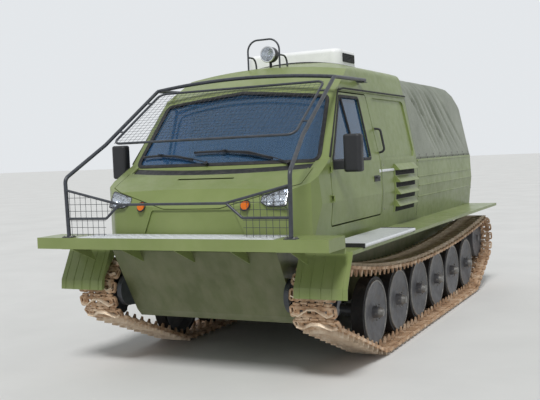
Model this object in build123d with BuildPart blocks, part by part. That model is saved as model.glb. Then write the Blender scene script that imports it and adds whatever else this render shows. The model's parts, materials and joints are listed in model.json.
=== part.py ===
"""Tracked all-terrain vehicle: a van cab and a canvas-covered load bed on a low tracked hull.

Millimetres. +Z is up, the nose points along -Y and the vehicle's left side is +X.
The origin is on the ground, under the middle of the vehicle. Places along the
vehicle are given as distances behind the front platform and turned into Y by from_nose().
"""
from build123d import *
import math
import os

os.makedirs("parts", exist_ok=True)

# Driving sizes
seat_gap = 0.3
sheet = 5

# Running gear
track_centre_x = 1055
shoe_width = 400
track_body = 26
lug_height = 30
shoe_count = 98
wheel_count = 6
first_wheel = 1660
wheel_pitch = 685
belt_radius = 328
sprocket_place = 640
sprocket_z = 690
sprocket_radius = 240
sprocket_teeth = 13
sprocket_width = 90
drive_hub_radius = 75
drive_case_thick = 44
drive_case_circles = [(640, 690, 125), (530, 715, 140)]
idler_place = 5780
idler_z = 625
idler_radius = 250
tyre_width = 116
tyre_depth = 30
arm_drop = 60
arm_trail = 250
arm_thick = 60
axle_radius = 40

overall_length = idler_place + idler_radius + track_body + lug_height

# Hull and fenders
hull_half_width = 800
hull_wall = 8
belly_z = 455
deck_z = 1095
hull_front = 300
hull_rear = 5750
fender_half_width = 1370
fender_front = 450
fender_rear = 5840
fender_lip = 32
flap_inner_x = 935
flap_outer_x = 1390
flap_bottom_z = 738
flap_rib_width = 10
flap_rib_height = 5
flap_rib_count = 5

# Front platform
platform_half_width = 1378
platform_top = 1234
platform_height = 96
platform_depth = 322
platform_sheet = 8
tread_half_width = 930
gusset_places = [-1040, -520, 0, 520, 1040]

# Cab
cab_front = 330
cab_rear = 3400
cab_wall = 45
panel_gap = 6
base_x = 995
crease_x = 1035
crease_z = 1450
belt_x = 1022
belt_z = 1769
gutter_x = 905
gutter_z = 2430
gutter_rail_front = 1480
gutter_rail_reach = 12
gutter_rail_height = 12
shoulder_x = 850
crown_z = 2815
shoulder_drop = 145
shoulder_radius = 90
lip_z = 1450
brow_place = 430
brow_z = 1610
cowl_place = 790
cowl_z = 1785
screen_slope = 50
screen_bow = 100
bonnet_bow = 40
brow_rise = 28
roof_start = 1340
roof_start_z = 2470
roof_slope = 8
roof_bend = 1800
screen_top_z = 2395
glass_thick = 5
glass_depth = 14
bonnet_half_width = 925
bonnet_side_z = 1630
bonnet_lip_half_width = 270
cowl_depth = 60
cowl_half_width = 905
cowl_drop = 14

# Doors
door_front = 940
door_rear = 2200
door_bottom = 1250
door_top = 2405
door_gap = 13
door_pillar_place = 1440
door_rear_lean = 60

# Hinges: a pin on the fixed side runs through a knuckle on the moving side
pin_clearance = 0.3
door_pin_x = 1053
door_pin_lean = 4
door_pin_radius = 4
door_knuckle_radius = 8
door_knuckle_length = 44
door_hinge_heights = [1480, 1725]
hinge_ear = 8
hinge_side_gap = 1
hinge_leaf = 30
bonnet_pin_place = 792
bonnet_pin_z = 1745
bonnet_pin_radius = 3
bonnet_knuckle_radius = 6
bonnet_hinge_x = 885
bonnet_arm_width = 13
gate_pin_drop = 3
gate_pin_radius = 5
gate_knuckle_radius = 10
gate_knuckle_length = 60
gate_hinge_places = [-600, 0, 600]

# Load bed
bed_rear = 5880
bed_wall = 30
bed_top = 1755
tilt_drop = 45
tilt_thick = 10
tilt_shoulder = 5450
tilt_shoulder_z = 2390
gate_half_width = 920
gate_bottom = 1135
gate_top = bed_top - 8

# Brush guard and roof fittings
guard_radius = 17
guard_place = 42
guard_bar_radius = 11
roof_box_front = 2450
roof_box_rear = 2980
roof_box_half_width = 530
roof_box_height = 120
lamp_place = 1900
lamp_rise = 48
lamp_radius = 78
hoop_place = 1805
hoop_rise = 182
hoop_half_width = 172
hoop_radius = 9


def from_nose(distance):
    """Y of a place that lies this far behind the front platform."""
    return distance - overall_length / 2


def write_piece(piece, name):
    """Label a finished piece and write it under its own name."""
    piece.part.label = name
    export_step(piece.part, f"parts/{name}.step")


def both_sides(left):
    """A left-hand piece together with its mirror image on the right."""
    with BuildPart() as pair:
        add(left)
        mirror(about=Plane.YZ)
    return pair


def mirrored(left):
    """The right-hand twin of a left-hand piece."""
    with BuildPart() as right:
        mirror(left, about=Plane.YZ)
    return right


def bent_tube(route, radius, bend):
    """A round bar through the points of a route, with rounded bends."""
    with BuildPart() as tube:
        with BuildLine() as path:
            if len(route) > 2:
                FilletPolyline(*route, radius=bend)
            else:
                Line(*route)
        with BuildSketch(Plane(origin=path.line @ 0, z_dir=path.line % 0)):
            Circle(radius)
        sweep()
    return tube.part


def box_between(low, high):
    """A block between two opposite corners."""
    with BuildPart() as block:
        with Locations(tuple((low[axis] + high[axis]) / 2 for axis in range(3))):
            Box(*[high[axis] - low[axis] for axis in range(3)])
    return block.part


# The track runs in the YZ plane round the sprocket, the end road wheels and the idler.
# Its upper run hangs between sprocket and idler and rests on the third road wheel.
lug_tip = track_body + lug_height
wheel_z = lug_tip + belt_radius
wheel_places = [first_wheel + wheel_pitch * index for index in range(wheel_count)]
sprocket_circle = (from_nose(sprocket_place), sprocket_z, sprocket_radius)
idler_circle = (from_nose(idler_place), idler_z, idler_radius)
front_wheel = (from_nose(wheel_places[0]), wheel_z, belt_radius)
rear_wheel = (from_nose(wheel_places[-1]), wheel_z, belt_radius)
run_low = (from_nose(wheel_places[2]), wheel_z + belt_radius)


def on_circle(circle, angle):
    """The point of a circle (y, z, radius) at an angle in degrees."""
    turn = math.radians(angle)
    return (circle[0] + circle[2] * math.cos(turn), circle[1] + circle[2] * math.sin(turn))


def leaving_angle(first, second):
    """Where a belt round both circles leaves the first one for the second, in degrees."""
    span_y = second[0] - first[0]
    span_z = second[1] - first[1]
    lean = math.asin((first[2] - second[2]) / math.hypot(span_y, span_z))
    return math.degrees(math.atan2(span_z, span_y) + lean) - 90


def hanging_circle(circle):
    """The large circle that the belt follows from the low point of its upper run."""
    drop = run_low[1] - circle[1]
    reach = run_low[0] - circle[0]
    radius = (reach**2 / (circle[2] - drop) - circle[2] - drop) / 2
    return (run_low[0], run_low[1] + radius, radius)


def facing_angle(circle, other):
    """Angle at which one circle faces the centre of another, in degrees."""
    return math.degrees(math.atan2(other[1] - circle[1], other[0] - circle[0])) % 360


def wrap(circle, start, end):
    """The arc of a circle between two angles."""
    ThreePointArc(on_circle(circle, start), on_circle(circle, (start + end) / 2), on_circle(circle, end))


def belt_loop():
    """The inner face of the track as one closed line, drawn from the first road wheel."""
    rear_climb = leaving_angle(rear_wheel, idler_circle)
    front_drop = leaving_angle(sprocket_circle, front_wheel) % 360
    rear_hang = hanging_circle(idler_circle)
    front_hang = hanging_circle(sprocket_circle)
    Line(on_circle(front_wheel, 270), on_circle(rear_wheel, 270))
    wrap(rear_wheel, -90, rear_climb)
    Line(on_circle(rear_wheel, rear_climb), on_circle(idler_circle, rear_climb))
    wrap(idler_circle, rear_climb, facing_angle(idler_circle, rear_hang))
    wrap(rear_hang, facing_angle(rear_hang, idler_circle), 270)
    wrap(front_hang, 270, facing_angle(front_hang, sprocket_circle))
    wrap(sprocket_circle, facing_angle(sprocket_circle, front_hang), front_drop)
    Line(on_circle(sprocket_circle, front_drop), on_circle(front_wheel, front_drop))
    wrap(front_wheel, front_drop, 270)


with BuildLine(Plane.YZ) as track_line:
    belt_loop()
track_path = track_line.wire()

# Outer outline of one shoe: share of the pitch along the track, height over its inner face
shoe_outline = [
    (0.02, track_body - 14),
    (0.20, track_body),
    (0.46, lug_tip),
    (0.62, lug_tip),
]
track_outline = []
for shoe in range(shoe_count):
    for along, height in shoe_outline:
        share = (shoe + along) / shoe_count
        outward = (track_path % share).cross(Vector(1, 0, 0))
        point = (track_path @ share) + outward * height
        track_outline.append((point.Y, point.Z))

with BuildPart() as track_left:
    with BuildSketch(Plane.YZ.offset(track_centre_x - shoe_width / 2)):
        with BuildLine():
            Polyline(*track_outline, close=True)
        make_face()
        with BuildLine():
            belt_loop()
        make_face(mode=Mode.SUBTRACT)
    extrude(amount=shoe_width)
write_piece(track_left, "track_left")
write_piece(mirrored(track_left.part), "track_right")

# Road wheels: a dished disc inside a solid rubber tyre
tyre_inner_x = track_centre_x - tyre_width / 2
tyre_outer_x = track_centre_x + tyre_width / 2
tyre_radius = belt_radius - seat_gap
rim_radius = tyre_radius - tyre_depth
hub_face_x = tyre_outer_x + 42


def wheel_axis(place, height):
    """The axle line of a wheel, pointing out to the left."""
    return Plane(origin=(0, from_nose(place), height), x_dir=(0, 1, 0), z_dir=(1, 0, 0))


with BuildPart() as wheel_disc:
    with BuildSketch(Plane.XZ):
        with BuildLine():
            Polyline(
                (tyre_inner_x + 6, rim_radius),
                (tyre_outer_x + 6, rim_radius),
                (tyre_outer_x + 6, rim_radius - 18),
                (tyre_outer_x - 26, 92),
                (tyre_outer_x - 14, 58),
                (hub_face_x, 52),
                (hub_face_x, 0),
                (tyre_inner_x + 30, 0),
                (tyre_inner_x + 30, 92),
                (tyre_outer_x - 20, rim_radius - 30),
                (tyre_inner_x + 6, rim_radius - 14),
                close=True,
            )
        make_face()
    revolve(axis=Axis.X)

with BuildPart() as tyre_ring:
    with BuildSketch(Plane.XZ):
        with BuildLine():
            Polyline(
                (tyre_inner_x, rim_radius),
                (tyre_inner_x, tyre_radius),
                (tyre_outer_x, tyre_radius),
                (tyre_outer_x, rim_radius),
                close=True,
            )
        make_face()
    revolve(axis=Axis.X)


def along_wheels(part, height):
    """Copies of a part that was made on the X axis, one at each road wheel of the left side."""
    return [part.moved(Location((0, from_nose(place), height))) for place in wheel_places]


with BuildPart() as road_wheels_left:
    add(along_wheels(wheel_disc.part, wheel_z))
write_piece(road_wheels_left, "road_wheels_left")
write_piece(mirrored(road_wheels_left.part), "road_wheels_right")

with BuildPart() as tyres_left:
    add(along_wheels(tyre_ring.part, wheel_z))
write_piece(tyres_left, "tyres_left")
write_piece(mirrored(tyres_left.part), "tyres_right")

# Trailing arms with their stub axles
arm_x = tyre_inner_x - 62
with BuildPart() as swing_arm:
    with BuildSketch(Plane.YZ.offset(arm_x)):
        with BuildLine():
            Polyline((0, -44), (-arm_trail, arm_drop - 50), (-arm_trail, arm_drop + 50), (0, 44), close=True)
        make_face()
        Circle(44)
        with Locations((-arm_trail, arm_drop)):
            Circle(60)
    extrude(amount=arm_thick)
    with BuildSketch(Plane.YZ.offset(arm_x + arm_thick)):
        Circle(axle_radius)
    extrude(until=Until.NEXT, target=box_between((tyre_inner_x + 30, -60, -60), (tyre_inner_x + 40, 60, 60)))
    with BuildSketch(Plane.YZ.offset(hull_half_width)):
        with Locations((-arm_trail, arm_drop)):
            Circle(45)
    extrude(amount=arm_x - hull_half_width)

with BuildPart() as suspension_left:
    add(along_wheels(swing_arm.part, wheel_z))
write_piece(both_sides(suspension_left.part), "suspension_arms")

# Drive sprocket: a toothed ring on a hub, carried by the final drive on the hull side
root_radius = sprocket_radius - seat_gap
with BuildPart() as drive_left:
    with BuildSketch(wheel_axis(sprocket_place, sprocket_z).offset(track_centre_x - sprocket_width / 2)):
        Circle(root_radius)
        with PolarLocations(root_radius + 14, sprocket_teeth):
            Circle(36, mode=Mode.SUBTRACT)
    extrude(amount=sprocket_width)
    with BuildSketch(wheel_axis(sprocket_place, sprocket_z).offset(track_centre_x + sprocket_width / 2)):
        Circle(root_radius - 75)
    extrude(amount=-30, mode=Mode.SUBTRACT)
    with BuildSketch(Plane.YZ.offset(hull_half_width)):
        for place, height, radius in drive_case_circles:
            with Locations((from_nose(place), height)):
                Circle(radius)
        make_hull()
    extrude(amount=drive_case_thick)
    with BuildSketch(wheel_axis(sprocket_place, sprocket_z).offset(hull_half_width)):
        Circle(drive_hub_radius)
    extrude(amount=track_centre_x + sprocket_width / 2 - hull_half_width)
write_piece(both_sides(drive_left.part), "drive_sprockets")

# Rear idler on its tensioning crank
with BuildPart() as idler_left:
    with BuildSketch(Plane.XZ):
        with BuildLine():
            Polyline(
                (tyre_inner_x + 4, idler_radius - seat_gap),
                (tyre_outer_x - 4, idler_radius - seat_gap),
                (tyre_outer_x - 4, idler_radius - 34),
                (tyre_outer_x - 30, 80),
                (tyre_outer_x - 10, 46),
                (tyre_outer_x + 20, 40),
                (tyre_outer_x + 20, 0),
                (arm_x, 0),
                (arm_x, 46),
                (tyre_outer_x - 46, 80),
                (tyre_outer_x - 46, idler_radius - 34),
                (tyre_inner_x + 4, idler_radius - 34),
                close=True,
            )
        make_face()
    revolve(axis=Axis.X)
idler_crank_drop = 70
with BuildPart() as idler_with_crank:
    add(idler_left.part.moved(Location((0, from_nose(idler_place), idler_z))))
    with BuildSketch(wheel_axis(idler_place, idler_z).offset(arm_x - 30)):
        Circle(60)
        with BuildLine():
            Polyline(
                (0, 45),
                (0, -45),
                (-180, -idler_crank_drop - 45),
                (-180, 45 - idler_crank_drop),
                close=True,
            )
        make_face()
    extrude(amount=30)
    with BuildSketch(wheel_axis(idler_place, idler_z).offset(hull_half_width)):
        with Locations((-180, -idler_crank_drop)):
            Circle(52)
    extrude(amount=arm_x - hull_half_width)
write_piece(both_sides(idler_with_crank.part), "idlers")

# Hull: an open-topped tub of plate with a sloping bow
bow_foot = hull_front + 320
bow_foot_z = 520
hull_outline = [
    (from_nose(hull_front), deck_z),
    (from_nose(bow_foot), bow_foot_z),
    (from_nose(bow_foot + 60), belly_z),
    (from_nose(hull_rear - 160), belly_z),
    (from_nose(hull_rear), belly_z + 150),
    (from_nose(hull_rear), deck_z),
]
with BuildPart() as hull:
    with BuildSketch(Plane.YZ):
        with BuildLine():
            Polyline(*hull_outline, close=True)
        make_face()
    extrude(amount=hull_half_width, both=True)
    offset(amount=-hull_wall, openings=hull.faces().sort_by(Axis.Z)[-1])
write_piece(hull, "hull")

# Engine and gearbox stand in the tub between the load bed and the cab
with BuildPart() as engine:
    add(box_between((-340, from_nose(2500), belly_z + hull_wall), (340, from_nose(3450), deck_z - 15)))
write_piece(engine, "engine")

# Fenders: flat sheets with a lip turned down along the edge and a flap over the rear of the track
with BuildPart() as fender_left:
    add(
        box_between(
            (hull_half_width, from_nose(fender_front), deck_z - sheet),
            (fender_half_width, from_nose(fender_rear), deck_z),
        )
    )
    add(
        box_between(
            (fender_half_width - sheet, from_nose(fender_front), deck_z - fender_lip),
            (fender_half_width, from_nose(fender_rear), deck_z),
        )
    )
write_piece(fender_left, "fender_left")
write_piece(mirrored(fender_left.part), "fender_right")

# Front mudguards: ribbed sheets that bend down in front of the tracks, with a cheek at the inner end
flap_bend_z = flap_bottom_z + 84
flap_line = [
    (from_nose(fender_front - sheet), deck_z),
    (from_nose(fender_front - 150), flap_bend_z),
    (from_nose(fender_front - 158), flap_bottom_z),
]
flap_inside = [
    (flap_line[2][0] + sheet, flap_line[2][1]),
    (flap_line[1][0] + sheet, flap_line[1][1]),
    (flap_line[0][0] + sheet, flap_line[0][1] - sheet - 1),
]
flap_width = flap_outer_x - flap_inner_x


def flap_slice(start_x, width, proud):
    """A strip of the mudguard sheet with its front face moved forward."""
    with BuildPart() as strip:
        with BuildSketch(Plane.YZ.offset(start_x)):
            with BuildLine():
                Polyline(
                    (flap_line[0][0] - proud, flap_line[0][1] - proud),
                    (flap_line[1][0] - proud, flap_line[1][1]),
                    (flap_line[2][0] - proud, flap_line[2][1]),
                    *flap_inside,
                    (flap_line[0][0], flap_line[0][1] - sheet - 1),
                    close=True,
                )
            make_face()
        extrude(amount=width)
    return strip.part


with BuildPart() as mudguard_left:
    add(flap_slice(flap_inner_x, flap_width, 0))
    for rib in range(flap_rib_count):
        rib_x = flap_inner_x + flap_width * (rib + 0.5) / flap_rib_count - flap_rib_width / 2
        add(flap_slice(rib_x, flap_rib_width, flap_rib_height))
    with BuildSketch(Plane.YZ.offset(flap_inner_x)):
        with BuildLine():
            Polyline(
                *flap_inside,
                (from_nose(fender_front + 50), deck_z - sheet - 1),
                (from_nose(fender_front + 50), deck_z - 75),
                (from_nose(fender_front - 10), deck_z - 135),
                (from_nose(fender_front - 105), deck_z - 245),
                (from_nose(fender_front - 125), flap_bottom_z),
                close=True,
            )
        make_face()
    extrude(amount=sheet)
write_piece(both_sides(mudguard_left.part), "front_mudguards")

# Front platform: a channel that stands on the hull, stiffened by gussets against the bow
platform_front = from_nose(0)
platform_back = from_nose(platform_depth)
platform_low = platform_top - platform_height
with BuildPart() as front_platform:
    with BuildSketch(Plane.YZ):
        with BuildLine():
            Polyline(
                (platform_front, platform_top),
                (platform_back, platform_top),
                (platform_back, deck_z),
                (platform_back - platform_sheet, deck_z),
                (platform_back - platform_sheet, platform_top - platform_sheet),
                (platform_front + platform_sheet, platform_top - platform_sheet),
                (platform_front + platform_sheet, platform_low + platform_sheet),
                (platform_front + 60, platform_low + platform_sheet),
                (platform_front + 60, platform_low),
                (platform_front, platform_low),
                close=True,
            )
        make_face()
    extrude(amount=platform_half_width, both=True)
    for side in (-1, 1):
        with BuildSketch(Plane.YZ.offset(side * platform_half_width)):
            with BuildLine():
                Polyline(
                    (platform_front, platform_low),
                    (platform_front, platform_top),
                    (platform_back, platform_top),
                    (platform_back, platform_low),
                    close=True,
                )
            make_face()
        extrude(amount=-side * platform_sheet)
    bow_lean = (bow_foot - hull_front) / (deck_z - bow_foot_z)
    gusset_foot = 100
    for place in gusset_places:
        with BuildSketch(Plane.YZ.offset(place)):
            with BuildLine():
                Polyline(
                    (platform_front + 30, platform_low),
                    (from_nose(hull_front), platform_low),
                    (from_nose(hull_front), deck_z),
                    (from_nose(hull_front + gusset_foot * bow_lean), deck_z - gusset_foot),
                    close=True,
                )
            make_face()
        extrude(amount=platform_sheet)
    for place in (-hull_half_width, hull_half_width - platform_sheet):
        with BuildSketch(Plane.YZ.offset(place)):
            with BuildLine():
                Polyline(
                    (from_nose(hull_front), platform_low),
                    (platform_back, platform_low),
                    (platform_back, deck_z),
                    (from_nose(hull_front), deck_z),
                    close=True,
                )
            make_face()
        extrude(amount=platform_sheet)
write_piece(front_platform, "front_platform")

tread_thick = 4
with BuildPart() as platform_tread:
    add(
        box_between(
            (-tread_half_width, platform_front, platform_top),
            (tread_half_width, platform_back - 10, platform_top + tread_thick),
        )
    )
write_piece(platform_tread, "platform_tread")

# Aluminium step boards beside the doors
step_inner_x = 1060
step_outer_x = 1385
step_front = 720
step_rear = 2060
step_height = 30
step_groove = 5
step_rib_count = 9
step_roll_radius = 14
step_rib_pitch = (step_outer_x - step_inner_x - step_roll_radius) / step_rib_count
with BuildPart() as step_left:
    add(
        box_between(
            (step_inner_x, from_nose(step_front), deck_z),
            (step_outer_x, from_nose(step_rear), deck_z + step_height),
        )
    )
    for groove in range(1, step_rib_count + 1):
        groove_x = step_inner_x + groove * step_rib_pitch - step_groove / 2
        add(
            box_between(
                (groove_x, from_nose(step_front - 1), deck_z + step_height - step_groove),
                (groove_x + step_groove, from_nose(step_rear + 1), deck_z + step_height + 1),
            ),
            mode=Mode.SUBTRACT,
        )
    with BuildSketch(Plane.XZ.offset(-from_nose(step_front))):
        with Locations((step_outer_x, deck_z + step_height - step_roll_radius)):
            Circle(step_roll_radius)
    extrude(amount=step_front - step_rear)
write_piece(both_sides(step_left.part), "step_boards")


def bowed_block(place, height, slope, bow, inset):
    """Everything under a surface that climbs rearwards at a slope and is bowed across the vehicle."""
    climb = math.radians(slope)
    plane = Plane(
        origin=(0, from_nose(place), height),
        x_dir=(1, 0, 0),
        z_dir=(0, -math.cos(climb), -math.sin(climb)),
    )
    reach = 1200
    bow_at_reach = bow * (reach / belt_x) ** 2
    with BuildPart() as block:
        with BuildSketch(plane):
            with BuildLine():
                ThreePointArc((-reach, -inset - bow_at_reach), (0, -inset), (reach, -inset - bow_at_reach))
                Polyline(
                    (reach, -inset - bow_at_reach),
                    (reach, -5000),
                    (-reach, -5000),
                    (-reach, -inset - bow_at_reach),
                )
            make_face()
        extrude(amount=6000, both=True)
    return block.part


def body_section(inset, crown):
    """Cross section of the upper body in the XZ plane, moved in by an inset."""
    with BuildSketch(Plane.XZ) as section:
        with BuildLine():
            Polyline(
                (-shoulder_x, crown - shoulder_drop),
                (-gutter_x, gutter_z),
                (-belt_x, belt_z),
                (-crease_x, crease_z),
                (-base_x, deck_z),
                (base_x, deck_z),
                (crease_x, crease_z),
                (belt_x, belt_z),
                (gutter_x, gutter_z),
                (shoulder_x, crown - shoulder_drop),
            )
            ThreePointArc(
                (shoulder_x, crown - shoulder_drop),
                (0, crown),
                (-shoulder_x, crown - shoulder_drop),
            )
        outline = make_face()
        shoulders = outline.vertices().filter_by(lambda corner: abs(abs(corner.X) - shoulder_x) < 1)
        fillet(shoulders, shoulder_radius)
        if inset:
            offset(amount=-inset, kind=Kind.INTERSECTION, mode=Mode.REPLACE)
    return section.sketch


def cab_volume(inset):
    """The closed outer form of the cab, moved in by an inset."""
    under_bonnet = bowed_block(cowl_place, cowl_z, bonnet_slope, bonnet_bow, inset)
    under_brow = bowed_block(brow_place, brow_z, brow_slope, bonnet_bow, inset)
    behind_screen = bowed_block(cowl_place, cowl_z, screen_slope, screen_bow, inset)
    under_brow_roof = bowed_block(roof_start, roof_start_z, brow_rise, screen_bow, inset)
    under_roof = bowed_block(roof_bend, roof_bend_z, roof_slope, screen_bow, inset)
    with BuildPart() as nose:
        add(under_bonnet)
        add(under_brow, mode=Mode.INTERSECT)
        add(behind_screen)
        add(under_brow_roof, mode=Mode.INTERSECT)
        add(under_roof, mode=Mode.INTERSECT)
        extrude(body_section(inset, crown_z), amount=5000, both=True, mode=Mode.INTERSECT)
        with BuildSketch(Plane.XY):
            with BuildLine():
                Polyline(
                    (-840, from_nose(cab_front + 75)),
                    (-1000, from_nose(cab_front + 240)),
                    (-1080, from_nose(cab_front + 560)),
                    (-1080, from_nose(cab_rear)),
                    (1080, from_nose(cab_rear)),
                    (1080, from_nose(cab_front + 560)),
                    (1000, from_nose(cab_front + 240)),
                    (840, from_nose(cab_front + 75)),
                )
                ThreePointArc(
                    (840, from_nose(cab_front + 75)),
                    (0, from_nose(cab_front)),
                    (-840, from_nose(cab_front + 75)),
                )
            plan = make_face()
            fillet(plan.vertices().filter_by(lambda corner: abs(abs(corner.X) - 840) < 1), 90)
            if inset:
                offset(amount=-inset, kind=Kind.INTERSECTION, mode=Mode.REPLACE)
        extrude(amount=5000, mode=Mode.INTERSECT)
    return nose.part


bonnet_slope = math.degrees(math.atan2(cowl_z - brow_z, cowl_place - brow_place))
brow_slope = math.degrees(math.atan2(brow_z - lip_z, brow_place - cab_front))
roof_bend_z = roof_start_z + (roof_bend - roof_start) * math.tan(math.radians(brow_rise))
cab_outer = cab_volume(0)
cab_inner = cab_volume(cab_wall)
glass_outer = cab_volume(glass_depth)
glass_inner = cab_volume(glass_depth + glass_thick)

door_outline = [
    (from_nose(door_front), door_bottom),
    (from_nose(door_front), belt_z - 20),
    (from_nose(door_pillar_place), door_top),
    (from_nose(door_rear - door_rear_lean), door_top),
    (from_nose(door_rear), belt_z),
    (from_nose(door_rear), door_bottom),
]
door_window = [
    (from_nose(1000), belt_z + 25),
    (from_nose(1063), belt_z + 91),
    (from_nose(1453), door_top - 33),
    (from_nose(1925), door_top - 33),
    (from_nose(1960), belt_z + 25),
]
blank_window = [
    (from_nose(2275), door_top - 18),
    (from_nose(3300), door_top - 18),
    (from_nose(3355), belt_z + 25),
    (from_nose(2345), belt_z + 25),
]
nose_pressing = [(-400, 1438), (-500, 1215), (500, 1215), (400, 1438)]
bonnet_slit = [(-280, 1682), (280, 1682), (280, 1692), (-280, 1692)]
bonnet_front_view = [
    (-bonnet_half_width, bonnet_side_z),
    (-bonnet_lip_half_width, lip_z),
    (bonnet_lip_half_width, lip_z),
    (bonnet_half_width, bonnet_side_z),
    (bonnet_half_width, 2000),
    (-bonnet_half_width, 2000),
]
screen_view = [
    (-930, cowl_z + 20),
    (-845, screen_top_z - 20),
    (0, screen_top_z + 62),
    (845, screen_top_z - 20),
    (930, cowl_z + 20),
]


def side_prism(outline, radius=0, grow=0):
    """A prism across the vehicle from an outline in the YZ plane, with rounded corners."""
    with BuildPart() as prism:
        with BuildSketch(Plane.YZ):
            with BuildLine():
                Polyline(*outline, close=True)
            face = make_face()
            if radius:
                fillet(face.vertices(), radius)
            if grow:
                offset(amount=grow, mode=Mode.REPLACE)
        extrude(amount=1500, both=True)
    return prism.part


def front_prism(outline, radius, grow, start, end):
    """A prism along the vehicle from an outline in the XZ plane, between two places."""
    with BuildPart() as prism:
        with BuildSketch(Plane.XZ.offset(-from_nose(start))):
            with BuildLine():
                Polyline(*outline, close=True)
            face = make_face()
            if radius:
                fillet(face.vertices(), radius)
            if grow:
                offset(amount=grow, mode=Mode.REPLACE)
        extrude(amount=start - end)
    return prism.part


def left_half():
    """A large block that covers the vehicle's left side."""
    return box_between((0, from_nose(-1000), -1000), (2000, from_nose(8000), 5000))


def screen_block(lead):
    """Everything behind a surface that lies this far in front of the windscreen."""
    return bowed_block(cowl_place, cowl_z, screen_slope, screen_bow, -lead)


def bonnet_region(gap):
    """The space that the bonnet fills, grown by a gap all round."""
    with BuildPart() as region:
        add(front_prism(bonnet_front_view, 0, gap, -500, 1300))
        add(screen_block(cowl_depth - gap), mode=Mode.SUBTRACT)
    return region.part


cowl_low = box_between(
    (-cowl_half_width, from_nose(cab_front), bonnet_side_z + 10),
    (cowl_half_width, from_nose(1300), cowl_z + 60),
)
with BuildPart() as cowl_region:
    add(screen_block(cowl_depth - panel_gap))
    add(screen_block(0), mode=Mode.SUBTRACT)
    add(cowl_low, mode=Mode.INTERSECT)

door_opening = side_prism(door_outline, radius=25, grow=door_gap)
bonnet_opening = bonnet_region(panel_gap)
screen_opening = front_prism(screen_view, 60, 0, 500, 1700)
above_gutter = box_between((-1500, from_nose(0), gutter_z), (1500, from_nose(4000), 3200))
headlamp_view = [(640, 1492), (705, 1462), (868, 1462), (868, 1604), (640, 1542)]
indicator_x = 510
indicator_z = 1470
indicator_radius = 34
headlamp_opening = front_prism(headlamp_view, 18, 0, 200, 700)


def indicator_shape(start, end):
    """A round bar along the vehicle at the left indicator."""
    with BuildPart() as bar:
        with BuildSketch(Plane.XZ.offset(-from_nose(start))):
            with Locations((indicator_x, indicator_z)):
                Circle(indicator_radius)
        extrude(amount=start - end)
    return bar.part


indicator_opening = indicator_shape(200, 500)

# The skin down to the depth of the glass, for pressings and slits
with BuildPart() as skin:
    add(cab_outer)
    add(glass_outer, mode=Mode.SUBTRACT)
with BuildPart() as side_pressings:
    add(skin.part)
    add(side_prism(blank_window, radius=70), mode=Mode.INTERSECT)
with BuildPart() as front_pressing:
    add(skin.part)
    add(front_prism(nose_pressing, 25, 0, 200, 700), mode=Mode.INTERSECT)
with BuildPart() as bonnet_groove:
    add(skin.part)
    add(front_prism(bonnet_slit, 0, 0, 400, 780), mode=Mode.INTERSECT)

# The door pins lean inwards with the cab side
door_pin_turn = math.radians(door_pin_lean)
door_pin_line = Plane(
    origin=(door_pin_x, from_nose(door_front - door_gap / 2), crease_z),
    x_dir=(0, 1, 0),
    z_dir=(-math.sin(door_pin_turn), 0, math.cos(door_pin_turn)),
)


def hinge_half(line, along, length, reach, inward, radius):
    """A rounded block on a pin line, reaching sideways to its leaf, centred at a place along the pin."""
    with BuildPart() as half:
        with BuildSketch(line.offset(along - length / 2)):
            Circle(radius)
            with Locations((reach / 2, (inward - radius / 2) / 2)):
                Rectangle(abs(reach), inward + radius / 2)
        extrude(amount=length)
    return half.part


def pin_bar(line, along, length, radius):
    """A round pin on a pin line, centred at a place along it."""
    with BuildPart() as bar:
        with BuildSketch(line.offset(along - length / 2)):
            Circle(radius)
        extrude(amount=length)
    return bar.part


door_leaf_depth = 24
ear_shift = door_knuckle_length / 2 + hinge_side_gap + hinge_ear / 2
with BuildPart() as door_knuckles:
    for height in door_hinge_heights:
        along = (height - crease_z) / math.cos(door_pin_turn)
        add(
            hinge_half(
                door_pin_line, along, door_knuckle_length, hinge_leaf, door_leaf_depth, door_knuckle_radius
            )
        )
        add(
            pin_bar(door_pin_line, along, 2 * door_knuckle_length, door_pin_radius + pin_clearance),
            mode=Mode.SUBTRACT,
        )
with BuildPart() as door_pins:
    for height in door_hinge_heights:
        along = (height - crease_z) / math.cos(door_pin_turn)
        for shift in (-ear_shift, ear_shift):
            add(
                hinge_half(
                    door_pin_line, along + shift, hinge_ear, -hinge_leaf, door_leaf_depth, door_knuckle_radius
                )
            )
        add(pin_bar(door_pin_line, along, 2 * ear_shift + hinge_ear, door_pin_radius))

# Bonnet hinges: pins between ears on the cowl, through arms under the bonnet's rear corners
bonnet_pin_line = Plane(
    origin=(0, from_nose(bonnet_pin_place), bonnet_pin_z), x_dir=(0, 1, 0), z_dir=(1, 0, 0)
)
bonnet_arm_reach = 70
bonnet_arm_fall = 40
with BuildPart() as bonnet_arm:
    with BuildSketch(bonnet_pin_line.offset(bonnet_hinge_x - bonnet_arm_width / 2)):
        Circle(bonnet_knuckle_radius)
        with BuildLine():
            Polyline(
                (0, bonnet_knuckle_radius),
                (0, -bonnet_knuckle_radius),
                (-bonnet_arm_reach, -bonnet_arm_fall - bonnet_knuckle_radius),
                (-bonnet_arm_reach, bonnet_knuckle_radius - bonnet_arm_fall),
                close=True,
            )
        make_face()
        Circle(bonnet_pin_radius + pin_clearance, mode=Mode.SUBTRACT)
    extrude(amount=bonnet_arm_width)
bonnet_ear_shift = bonnet_arm_width / 2 + hinge_side_gap + hinge_ear / 2
with BuildPart() as bonnet_ears:
    for shift in (-bonnet_ear_shift, bonnet_ear_shift):
        with BuildSketch(bonnet_pin_line.offset(bonnet_hinge_x + shift - hinge_ear / 2)):
            Circle(bonnet_knuckle_radius)
            with Locations((0, -15)):
                Rectangle(2 * bonnet_knuckle_radius, 30)
        extrude(amount=hinge_ear)
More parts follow.
